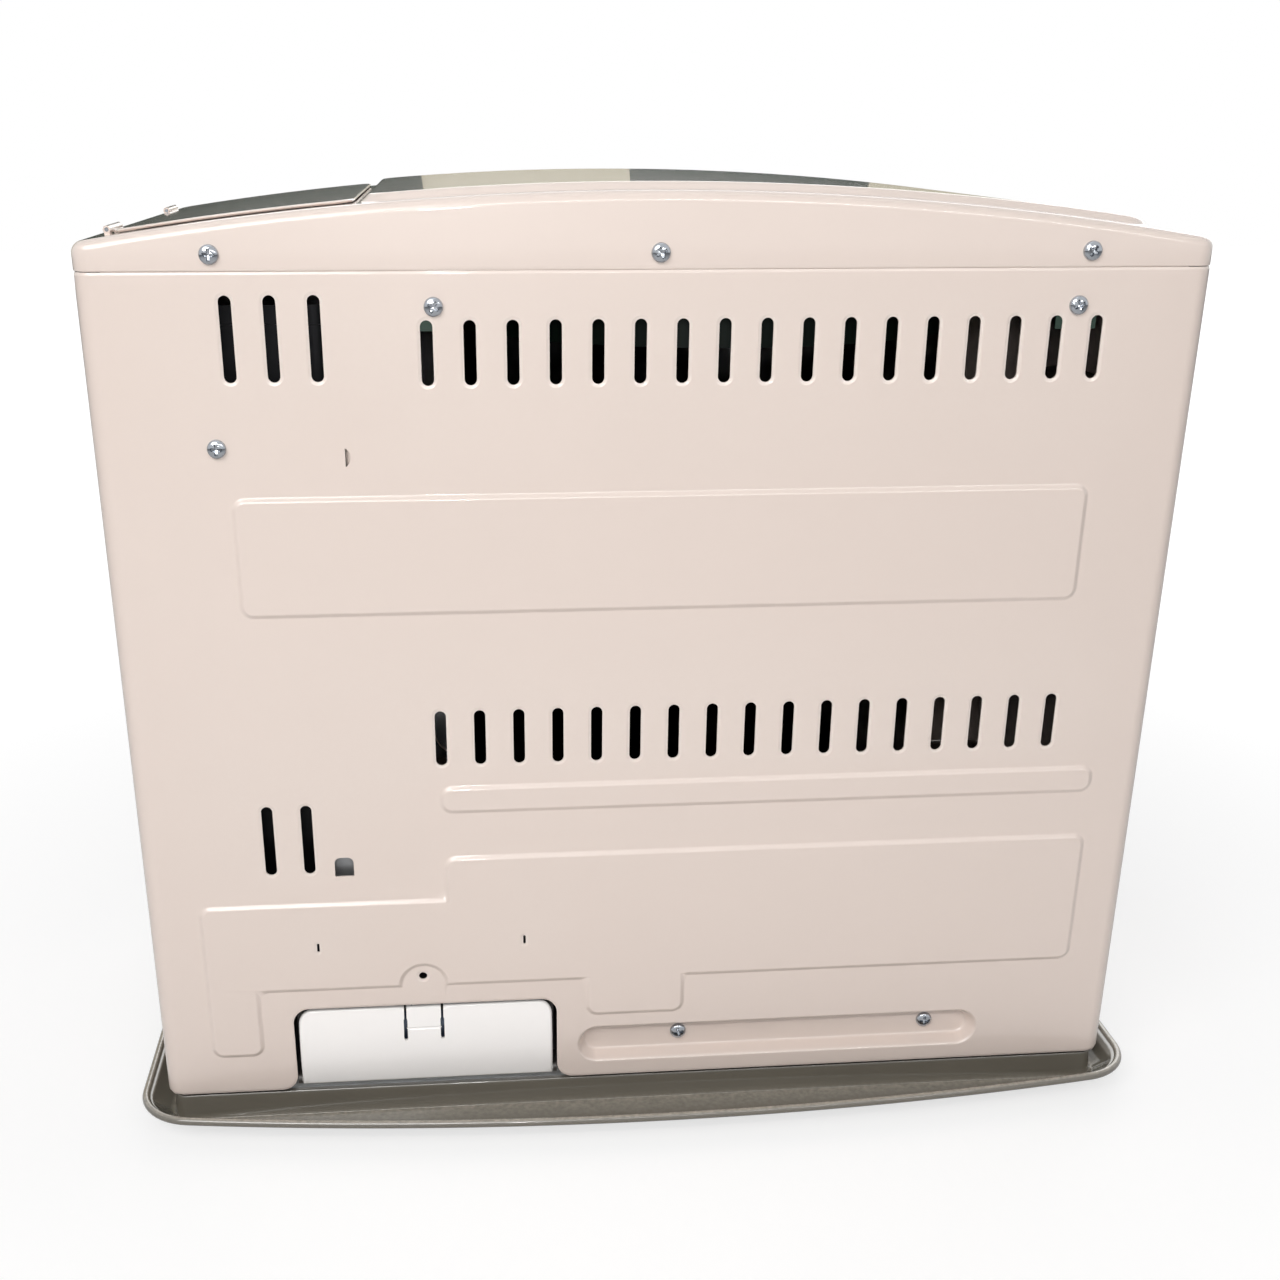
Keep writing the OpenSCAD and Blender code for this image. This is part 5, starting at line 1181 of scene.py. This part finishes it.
front_loop = spaced([(-FRAME_EDGE, FRAME_Z), (FRAME_EDGE, FRAME_Z), (FRAME_EDGE, SEAM),
                     (-FRAME_EDGE, SEAM)], 6.0)
window_loop = box_loop(*window, 10, 6.0)
front_lines = [box_loop(*grown(window, d), 10, 6.0) for d in (0.4, 0.8, 1.2, 1.7, 2.6)]
for a in np.linspace(0, ARC, 9):
    for side in (-1, 1):
        z = np.arange(FRAME_Z + 3, SEAM - 1, 8.0)
        front_lines.append(np.stack([np.full_like(z, side * (FLAT + a)), z], axis=1))
front_part = pressed([front_loop, window_loop], [], front_keep,
                     lambda s, z: wrap(s, z, front_lift(s, z), True), 1, front_lines)
lip = []
for back in (1.6, 2.4, 4.0, 6.0):
    loop = np.array(window_loop)
    lip.append(np.column_stack([loop[:, 0], np.full(len(loop), FRONT + back), loop[:, 1]]))
front_mesh = shell("front_sheet", [front_part, loft(lip, True, 1)], SHEET)
place("front_sheet", front_mesh, "casing", "casing_enamel", ["front_frame"])
tabs = [bar((-210, -109.4, z), (-198, -103.6, z + 3), 0.5) for z in (111.7, 405.3)]
tabs.append(bar((-STRIP_X, -103.1, STRIP_LOW), (STRIP_X, -102.3, STRIP_HIGH), 0.0))
place("front_tabs", solid("front_tabs", tabs), "casing", "casing_enamel")

# %% [markdown]
# ## Control panel
# A thick moulding closes the foot of the front. Its face wraps round the corners, its
# upper and lower edges roll back into lips, and holes let the knob's shaft, the lever,
# the button and the gauge through.

# %% Make the control panel
PANEL_Y = -6.0
PANEL_EDGE = FLAT + ARC + 17.7
low, high, roll = 20.0, 108.0, 2.0
KNOB_X, BUTTON_X = -1, 62
round_holes = [(KNOB_X, CONTROL_Z, 4.5), (BUTTON_X, CONTROL_Z, 9.4), (GAUGE_X, CONTROL_Z, 15.2)]
lever_slot = (-111.5, 78, 23.8, 6.8, 1.2)


def control_wrap(s, z, lift=0.0):
    return wrap(s, z, lift, True) + np.array([0.0, PANEL_Y, 0.0])


def control_holes(s, z):
    found = [np.hypot(s - x, z - middle) - r for x, middle, r in round_holes]
    return np.minimum.reduce(found + [box_distance(s, z, *lever_slot)])


def control_surface(s, z):
    return control_wrap(s, z, -0.5 * smooth(1 - control_holes(s, z) / 1.2) ** 2)


def control_keep(s, z):
    edges = np.maximum(np.abs(s) - PANEL_EDGE, np.maximum(low + roll - z, z - high + roll))
    return np.maximum(edges, -control_holes(s, z))


across = np.unique(np.concatenate([np.linspace(-FLAT, FLAT, 60), np.linspace(FLAT, FLAT + ARC, 9),
                                   -np.linspace(FLAT, FLAT + ARC, 9),
                                   [PANEL_EDGE, -PANEL_EDGE],
                                   [FLAT + ARC + 9, -FLAT - ARC - 9]]))
up = np.linspace(low + roll, high - roll, 9)
control_loop = [(s, low + roll) for s in across] + [(PANEL_EDGE, z) for z in up[1:-1]]
control_loop += [(s, high - roll) for s in across[::-1]]
control_loop += [(-PANEL_EDGE, z) for z in up[::-1][1:-1]]
holes = [circle(*hole, turn) for hole, turn in zip(round_holes, (24, 32, 40))]
holes.insert(1, box_loop(*lever_slot, 4, 4.0))
hole_rings = []
for loop in holes:
    hole_rings += rings(loop, control_holes, (0.4, 0.8, 1.2))
for a in np.linspace(0, ARC, 9)[1:-1]:
    for side in (-1, 1):
        hole_rings.append([(side * (FLAT + a), z) for z in up[1:-1]])
face = pressed([control_loop] + holes, [], control_keep, control_surface, 1, hole_rings)
deep = 2.3 + 7.7 * smooth((FLAT + ARC - np.abs(across)) / ARC)
control_parts = [face]
for level_z, turn in ((low, -1), (high, 1)):
    rows = []
    for a in np.radians(np.linspace(0, 90, 6)):
        row_z = level_z - turn * roll * (1 - math.sin(a))
        rows.append(control_wrap(across, np.full_like(across, row_z), -roll * (1 - math.cos(a))))
    rows.append(control_wrap(across, np.full_like(across, level_z), -deep))
    control_parts.append(loft(rows, False, turn))
place("control_moulding", shell("control_moulding", control_parts, 2.0), "casing",
      "control_enamel", ["control_panel"])

# %% [markdown]
# ## Knobs, button and gauge
# The wick knob has eighteen flutes, cut by pulling the rings of its skirt inwards at
# every twentieth degree. The lever knob is a block with round edges. The button is a
# shallow dome, and the gauge has a lens with a rolled bezel.

# %% Make the knobs
def fluted(profile, at, count, depth, width):
    steps = count * 12
    a = np.arange(steps) * 2 * math.pi / steps
    swing = np.abs((a * count / (2 * math.pi) + 0.5) % 1 - 0.5)
    groove = depth * np.sqrt(np.clip(1 - (swing / width) ** 2, 0, 1))
    points, rows = [], []
    for r, t, flute in profile:
        ring = [len(points) + k for k in range(steps if r > 0.01 else 1)]
        for k in range(len(ring)):
            reach = r - flute * groove[k]
            points.append((at[0] + reach * math.sin(a[k]), at[1] + t,
                           at[2] + reach * math.cos(a[k])))
        rows.append(ring)
    faces = []
    for p, q in zip(rows, rows[1:]):
        for k in range(steps):
            j = (k + 1) % steps
            if len(p) > 1 and len(q) > 1:
                faces.append([p[k], p[j], q[j], q[k]])
            else:
                faces.append([p[k % len(p)], p[j % len(p)], q[k % len(q)]] if len(q) == 1
                             else [p[0], q[j], q[k]])
    return points, faces


FACE_Y = -110
knob = [(0.0, 0.0, 0), (21.4, 0.0, 0), (21.9, -0.4, 0), (22.0, -1.0, 0), (22.0, -3.2, 0),
        (21.7, -3.8, 0), (20.6, -4.1, 0), (20.0, -4.5, 0.3), (19.9, -5.0, 1), (18.4, -15.6, 1),
        (18.1, -16.3, 1), (17.4, -16.8, 0.7), (16.5, -17.0, 0.2), (15.8, -17.0, 0),
        (15.2, -16.4, 0), (13.0, -16.2, 0), (0.0, -16.0, 0)]
flutes = fluted(knob, (KNOB_X, FACE_Y - 0.4, CONTROL_Z), 18, 1.5, 0.26)
place("fluted_wick_knob", solid("fluted_wick_knob", [flutes], 50), "knob", "dark_plastic",
      ["wick_knob"])


def stacked(rows):
    count = len(rows[0])
    points = [tuple(q) for row in rows for q in row]
    faces = [list(range(count)), list(range(len(points) - count, len(points)))]
    for k in range(len(rows) - 1):
        for c in range(count):
            d = (c + 1) % count
            faces.append([k * count + c, k * count + d, (k + 1) * count + d, (k + 1) * count + c])
    return points, faces


lever = (-118, 78, 14, 24, 4)


def lever_row(inset, y):
    loop = np.array(box_loop(*grown(lever, -inset), 8, 30.0))
    return np.column_stack([loop[:, 0], np.full(len(loop), y), loop[:, 1]])


rows = [lever_row(0.6, -110.8), lever_row(0.15, -111.0), lever_row(0, -111.5),
        lever_row(0.5, -121.8), lever_row(0.9, -123.0), lever_row(1.6, -123.6),
        lever_row(2.8, -123.8)]
place("lever_knob", solid("lever_knob", [stacked(rows)], 45), "igniter", "dark_plastic",
      ["ignition_knob"])

button = [(0, -8.0), (3.0, -7.95), (6.0, -7.7), (7.8, -7.2), (8.7, -6.4), (9.0, -5.4), (9.0, 2.6),
          (11.0, 2.6), (11.0, 4.2), (3.0, 4.2), (3.0, 11.2), (0, 11.2)]
dome = turned(button, (BUTTON_X, FACE_Y, CONTROL_Z), "Y", 40)
place("domed_button", solid("domed_button", [dome], 40), "button", "button_red",
      ["extinguish_button"])

lens = [(0, -0.7), (8.0, -0.75), (13.6, -0.9), (14.4, -1.15), (15.6, -1.2), (16.5, -1.0),
        (17.0, -0.4), (17.0, 0.0), (15.0, 0.0), (15.0, 2.05), (0, 2.05)]
gauge = turned(lens, (GAUGE_X, FACE_Y, CONTROL_Z), "Y", 56)
place("gauge_window", solid("gauge_window", [gauge], 40), "casing", "gauge_clear",
      ["gauge_lens"])

# %% [markdown]
# ## Guard
# The guard is a wire frame that swings out on its left rod. Its bars all follow the same
# flat arc and are one step apart, so Geometry Nodes draws one arc, gives it a round
# section and sets a copy at each height. The frame's upper and lower rods use the same
# rule with a thicker wire.

# %% Bowed bars as a rule
GUARD_X, HALF, BOW, LOW, HIGH = -46.0, 158.0, 20.0, 118.0, 402.0
BEND_R = (HALF ** 2 + BOW ** 2) / (2 * BOW)
GUARD_FACE = -112
GUARD_Y = GUARD_FACE - BOW + BEND_R
BARS, BAR_R, RAIL_R, ROD_R = 13, 1.25, 2.2, 2.5
bowed, given = new_group(
    "bowed_bars", ("Bars", "Int", 13), ("First height", "Float", 0.138), ("Step", "Float", 0.0203),
    ("Middle x", "Float", -0.046), ("Middle y", "Float", 0.5), ("Arc radius", "Float", 0.634),
    ("Half angle", "Float", 0.25), ("Wire", "Float", 0.00125), ("Finish", "Material", None))
start = add(bowed, "ShaderNodeMath", {0: 1.5 * math.pi, 1: given["Half angle"]},
            operation="SUBTRACT").outputs[0]
one = add(bowed, "GeometryNodeCurveArc", {"Resolution": 72, "Radius": given["Arc radius"],
                                          "Start Angle": start,
                                          "Sweep Angle": given["Half angle"] * 2.0},
          mode="RADIUS")
section = add(bowed, "GeometryNodeCurvePrimitiveCircle", {"Resolution": 16,
                                                          "Radius": given["Wire"]})
wire = add(bowed, "GeometryNodeCurveToMesh", {"Curve": one.outputs[0], "Fill Caps": True,
                                              "Profile Curve": section.outputs[0]})
first = add(bowed, "ShaderNodeCombineXYZ", {0: given["Middle x"], 1: given["Middle y"],
                                            2: given["First height"]})
stride = add(bowed, "ShaderNodeCombineXYZ", {2: given["Step"]})
heights = add(bowed, "GeometryNodeMeshLine", {"Count": given["Bars"], "Offset": stride.outputs[0],
                                              "Start Location": first.outputs[0]}, mode="OFFSET")
copies = add(bowed, "GeometryNodeInstanceOnPoints", {"Points": heights.outputs[0],
                                                     "Instance": wire.outputs[0]})
end_group(bowed, copies.outputs[0], given, smooth=True)

shape = {"Middle x": GUARD_X * MM, "Middle y": GUARD_Y * MM, "Arc radius": BEND_R * MM}
gap = (HIGH - LOW) / (BARS + 1)
place_baked("guard_wires", bowed, {
    **shape, "Bars": BARS, "First height": (LOW + gap) * MM, "Step": gap * MM,
    "Half angle": math.asin(HALF / BEND_R) - math.asin(2.6 / BEND_R), "Wire": BAR_R * MM},
    "guard_frame", "guard_chrome", ["guard_bars"])
place_baked("guard_rails", bowed, {
    **shape, "Bars": 2, "First height": LOW * MM, "Step": (HIGH - LOW) * MM,
    "Half angle": math.asin(HALF / BEND_R), "Wire": RAIL_R * MM}, "guard_frame", "guard_chrome")

# %% Uprights and stays of the guard
def rod(x, y, z0, z1, r):
    soft_end = [(0, z0), (r - 0.5, z0), (r - 0.15, z0 + 0.15), (r, z0 + 0.5), (r, z1 - 0.5),
                (r - 0.15, z1 - 0.15), (r - 0.5, z1), (0, z1)]
    return turned(soft_end, (x, y, 0), "Z", 20)


rods = [rod(GUARD_X - HALF, GUARD_FACE, 111.7, 408.3, ROD_R),
        rod(GUARD_X + HALF, GUARD_FACE, LOW - ROD_R, HIGH + ROD_R, ROD_R)]
for x in (-84, 0, 84):
    stay_y = GUARD_Y - math.sqrt(BEND_R ** 2 - x * x) + 2.55
    rods.append(rod(GUARD_X + x, stay_y, LOW - 0.7, HIGH + 0.7, BAR_R))
place("guard_uprights", solid("guard_uprights", rods), "guard_frame", "guard_chrome", ["guard"])

# %% [markdown]
# ## Reflector
# The reflector is a polished blank bent round half a circle. It runs straight to the
# front and ends in two flanges behind the window's edge. Bending is a rule on the flat
# blank: the distance along it becomes an angle, then a cheek, then a flange. Geometry
# Nodes bends the blank, and a second small group gives any bent sheet its thickness.
# Both sides carry the polished finish, but the back's colour is darkened as painted shade,
# where the casing's inside lies in shade. Its points carry that as the `edge` attribute.

# %% A node group for sheet thickness
thick, given = new_group("sheet_thickness", ("Wall", "Float", 0.0008))
pushed = add(thick, "GeometryNodeExtrudeMesh", {"Mesh": given["Geometry"], "Individual": False,
                                                "Offset Scale": given["Wall"]})
back_side = add(thick, "GeometryNodeFlipFaces", {"Mesh": given["Geometry"]})
both_sides = add(thick, "GeometryNodeJoinGeometry")
thick.links.new(pushed.outputs[0], both_sides.inputs[0])
thick.links.new(back_side.outputs[0], both_sides.inputs[0])
joined = add(thick, "GeometryNodeMergeByDistance", {"Geometry": both_sides.outputs[0],
                                                    "Distance": 0.00001})
end_group(thick, joined.outputs[0])


def end_sheet(tree, geometry, given, sharp_angle=0.6):
    walled = add(tree, "GeometryNodeGroup", {0: geometry, "Wall": given["Wall"]}, node_tree=thick)
    edge_turn = add(tree, "GeometryNodeInputMeshEdgeAngle").outputs[0]
    flat_edge = add(tree, "FunctionNodeCompare", {0: edge_turn, 1: sharp_angle},
                    operation="LESS_THAN")
    easy = add(tree, "GeometryNodeSetShadeSmooth", {"Geometry": walled.outputs[0],
                                                    "Shade Smooth": flat_edge.outputs[0]},
               domain="EDGE")
    end_group(tree, easy.outputs[0], given)


# %% Bend the blank
REFLECTOR_X, REFLECTOR_Y = -0.046, -0.065
bent, given = new_group(
    "bent_reflector", ("Radius", "Float", 0.14), ("Cheek", "Float", 0.034),
    ("Flange", "Float", 0.014), ("Bottom", "Float", 0.109), ("Height", "Float", 0.268),
    ("Middle x", "Float", REFLECTOR_X), ("Middle y", "Float", REFLECTOR_Y),
    ("Wall", "Float", 0.0008), ("Finish", "Material", None))
radius, cheek, height = given["Radius"], given["Cheek"], given["Height"]
half_arc = radius * (math.pi / 2)
reach = half_arc + cheek + given["Flange"]
blank = add(bent, "GeometryNodeMeshGrid", {"Size X": reach * 2.0, "Size Y": height,
                                           "Vertices X": 493, "Vertices Y": 9})
along, high_up, _ = split(bent, add(bent, "GeometryNodeInputPosition").outputs[0])
size_along = along.calc("ABSOLUTE")
angle = size_along.calc("MINIMUM", half_arc) / radius
past = (size_along - half_arc).calc("MAXIMUM", 0.0)
cheek_part = past.calc("MINIMUM", cheek)
side_reach = radius * angle.calc("SINE") + (past - cheek_part)
rear_reach = radius * angle.calc("COSINE") - cheek_part
bent_to = add(bent, "ShaderNodeCombineXYZ", {
    0: along.calc("SIGN") * side_reach + given["Middle x"], 1: rear_reach + given["Middle y"],
    2: high_up + height * 0.5 + given["Bottom"]})
moved = add(bent, "GeometryNodeSetPosition", {"Geometry": blank.outputs[0],
                                              "Position": bent_to.outputs[0]})
end_sheet(bent, moved.outputs[0], given)

mesh = place_baked("bent_reflector", bent, {
    "Radius": 0.14, "Cheek": 0.0342, "Flange": 0.0136, "Bottom": 0.1088, "Height": 0.2682,
    "Middle x": REFLECTOR_X, "Middle y": REFLECTOR_Y, "Wall": 0.0008},
    "casing", "reflector_bright", ["reflector"])
at, way_out = np.zeros((2, len(mesh.vertices), 3), np.float32)
mesh.vertices.foreach_get("co", at.ravel())
mesh.vertices.foreach_get("normal", way_out.ravel())
# Points on the back of the bend get painted shade through the `edge` attribute.
rear = ((at - (REFLECTOR_X, REFLECTOR_Y, 0)) * way_out)[:, :2].sum(axis=1) > 0
mesh.attributes.new("edge", "FLOAT", "POINT").data.foreach_set("value", rear * 1.9)
print("darkened rear points", int(rear.sum()), "of", len(rear))
flaps = [bar((x, -99.8, 376.0), (x + 13.6, -99.0, 403), 0.1) for x in (-199.8, 94.2)]
place("reflector_flaps", solid("reflector_flaps", flaps), "casing", "reflector_bright")

# %% [markdown]
# ## Perforated flame tubes
# The flame burns between two thin tubes full of small holes. Each tube is one cell with
# a round hole, repeated in staggered rows and then rolled round the tube's axis. The
# cell has eight faces, so thousands of holes stay light.

# %% One cell and the rule that rolls the rows
BURNER_X, BURNER_Y = -0.046, -0.014
CELL_HOLE = 0.29
corners = [(0, 0), (0.5, 0), (1, 0), (1, 0.5), (1, 1), (0.5, 1), (0, 1), (0, 0.5)]
hole = [(0.5 + CELL_HOLE * math.cos(a), 0.5 + CELL_HOLE * math.sin(a))
        for a in np.radians(np.arange(8) * 45 - 135)]
cell_mesh = bpy.data.meshes.new("holed_cell")
cell_mesh.from_pydata([(x, y, 0) for x, y in corners + hole], [],
                      [[k, (k + 1) % 8, 8 + (k + 1) % 8, 8 + k] for k in range(8)])
cell = link("holed_cell", cell_mesh)
holed, given = new_group(
    "perforated_tube", ("Cell", "Object", None), ("Radius", "Float", 0.04),
    ("Bottom", "Float", 0.12), ("Height", "Float", 0.19), ("Around", "Int", 48),
    ("Rows", "Int", 34), ("Middle x", "Float", BURNER_X), ("Middle y", "Float", BURNER_Y),
    ("Wall", "Float", 0.0005), ("Finish", "Material", None))
around, tube_r = given["Around"], given["Radius"]
one_cell = add(holed, "GeometryNodeObjectInfo", {"Object": given["Cell"]})
spots = add(holed, "GeometryNodePoints", {"Count": around * given["Rows"]})
number = Value(holed, add(holed, "GeometryNodeInputIndex").outputs[0])
row = ((number + 0.5) / around).calc("FLOOR")
column = number - row * around
cell_at = add(holed, "ShaderNodeCombineXYZ", {0: column + row.calc("MODULO", 2.0) * 0.5, 1: row})
laid = add(holed, "GeometryNodeSetPosition", {"Geometry": spots.outputs[0],
                                              "Position": cell_at.outputs[0]})
tiled = add(holed, "GeometryNodeInstanceOnPoints", {"Points": laid.outputs[0],
                                                    "Instance": one_cell.outputs["Geometry"]})
whole = add(holed, "GeometryNodeRealizeInstances", {"Geometry": tiled.outputs[0]})
along, high_up, _ = split(holed, add(holed, "GeometryNodeInputPosition").outputs[0])
angle = along * (2 * math.pi) / around
rolled_to = add(holed, "ShaderNodeCombineXYZ", {
    0: tube_r * angle.calc("COSINE") + given["Middle x"],
    1: tube_r * angle.calc("SINE") + given["Middle y"],
    2: high_up * given["Height"] / given["Rows"] + given["Bottom"]})
rolled = add(holed, "GeometryNodeSetPosition", {"Geometry": whole.outputs[0],
                                                "Position": rolled_to.outputs[0]})
seamless = add(holed, "GeometryNodeMergeByDistance", {"Geometry": rolled.outputs[0],
                                                      "Distance": 0.00002})
end_sheet(holed, seamless.outputs[0], given)

# %% Roll the two tubes
for name, node, r, around, rows in (("outer_perforated_tube", "outer_flame_tube", 42.3, 54, 40),
                                    ("inner_perforated_tube", "inner_flame_tube", 24.3, 31, 38)):
    lo, hi = cad_mm(node)
    place_baked(name, holed, {
        "Cell": cell, "Radius": r * MM, "Bottom": lo[2] * MM, "Height": (hi[2] - lo[2]) * MM,
        "Around": around, "Rows": rows, "Middle x": BURNER_X, "Middle y": BURNER_Y,
        "Wall": 0.45 * MM}, "chimney", "flame_steel", [node])
bpy.data.objects.remove(cell)

# %% Dress the carried-over solids
for part in frame["record"]["subparts"]:
    materials = frame["nodes"][part["node"]].data.materials
    materials.clear()
    materials.append(finishes[part["material_slot"]])

# %% [markdown]
# ## Studio
# The photograph is a cut-out on white, lit softly from above and from the left of the
# view. Big soft lamps give that light. The room is white to the camera, in reflections
# and through glass, and only a dim grey as a light. The floor glows towards the camera,
# less so near the heater, where its soft shadow falls. Two dark green boards and a cream
# wall stand 2.5 m out from the heater's front. Only reflections show them: they are what
# the glossy top mirrors in the photograph.

# %% Floor and room
def stage_sheet(name, corners):
    mesh = bpy.data.meshes.new(name)
    mesh.from_pydata(corners, [], [(0, 1, 2, 3)])
    mesh.materials.append(finishes[name])
    made = link(name, mesh)
    return made


tree = blank_material("studio_floor")
where = add(tree, "ShaderNodeTexCoord").outputs["Object"]
cloud = add(tree, "ShaderNodeTexNoise", {"Vector": where, "Scale": 3.0})
tone = add(tree, "ShaderNodeMapRange", {"Value": cloud.outputs["Fac"], "To Min": 0.84,
                                        "To Max": 0.86})
plain = add(tree, "ShaderNodeBsdfDiffuse", {"Color": tone.outputs[0]})
glow = add(tree, "ShaderNodeEmission", {"Color": (1, 1, 1, 1), "Strength": 1.14})
seen = add(tree, "ShaderNodeLightPath").outputs["Is Camera Ray"]
away = add(tree, "ShaderNodeVectorMath", {0: where}, operation="LENGTH").outputs["Value"]
fade = add(tree, "ShaderNodeMapRange", {"Value": away, "From Min": 0.35, "From Max": 1.1,
                                        "To Min": 0.62, "To Max": 1.0}).outputs[0]
mix = add(tree, "ShaderNodeMixShader", {0: Value(tree, seen) * fade, 1: plain.outputs[0],
                                        2: glow.outputs[0]})
add(tree, "ShaderNodeOutputMaterial", {"Surface": mix.outputs[0]})
stage_sheet("studio_floor", [(-6, -6, 0), (6, -6, 0), (6, 6, 0), (-6, 6, 0)])

world = bpy.data.worlds.new("studio_room")
scene.world = world
world.use_nodes = True
room = world.node_tree
room.nodes.clear()
path = add(room, "ShaderNodeLightPath").outputs
direct = Value(room, path["Is Camera Ray"]).calc("MAXIMUM", path["Is Transmission Ray"])
dim = add(room, "ShaderNodeBackground", {"Color": (0.96, 0.97, 1.0, 1.0), "Strength": 0.22})
white = add(room, "ShaderNodeBackground", {"Color": (1, 1, 1, 1), "Strength": 1.0})
both = add(room, "ShaderNodeMixShader", {0: direct.calc("MAXIMUM", path["Is Glossy Ray"]),
                                         1: dim.outputs[0], 2: white.outputs[0]})
add(room, "ShaderNodeOutputWorld", {"Surface": both.outputs[0]})
print("floor and room ready")


# %% Boards that only reflections show
def board(name, x0, x1, z0, z1, y, rgb):
    tree = blank_material(name)
    glow = add(tree, "ShaderNodeEmission", {"Color": linear(rgb), "Strength": 1.0})
    add(tree, "ShaderNodeOutputMaterial", {"Surface": glow.outputs[0]})
    made = stage_sheet(name, [(x0, y, z0), (x1, y, z0), (x1, y, z1), (x0, y, z1)])
    for ray in ("camera", "diffuse", "transmission", "volume_scatter", "shadow"):
        setattr(made, "visible_" + ray, False)
    print(name, "stands at y", y)


BOARD_Y, WALL_Y, DARK_GREEN = -2.5, -2.7, (18, 44, 36)
board("board_left", 0.13, 0.95, 0.3, 1.0, BOARD_Y, DARK_GREEN)
board("board_right", -0.78, -0.29, 0.3, 1.0, BOARD_Y, DARK_GREEN)
board("cream_wall", -3.0, 3.0, 0.2, 1.6, WALL_Y, (176, 170, 150))


# %% Lamps
def soft_lamp(name, at, aim, size, watts, tint=(1, 1, 1)):
    data = bpy.data.lights.new(name, "AREA")
    data.shape = "RECTANGLE"
    data.size, data.size_y = size
    data.energy = watts
    data.color = tint
    lamp = link(name, data)
    lamp.location = at
    lamp.rotation_euler = (Vector(aim) - Vector(at)).to_track_quat("-Z", "Y").to_euler()
    print("lamp", name, watts, "W")


soft_lamp("key", (0.7, 1.25, 1.3), (0, 0.1, 0.25), (1.1, 0.8), 13.4, (1.0, 0.99, 0.975))
soft_lamp("small", (0.09, 0.82, 0.497), (0, 0.1, 0.27), (0.04, 0.04), 0.5, (1.0, 0.995, 0.98))
soft_lamp("strip", (-0.02, 0.86, 0.72), (-0.02, 0.1, 0.25), (1.3, 0.03), 2.4, (1.0, 0.995, 0.98))
soft_lamp("overhead", (0.1, 0.1, 2.3), (0, 0, 0.2), (1.4, 1.4), 3)
soft_lamp("front", (-0.6, -2.1, 1.25), (0, 0, 0.2), (2.8, 1.4), 24)
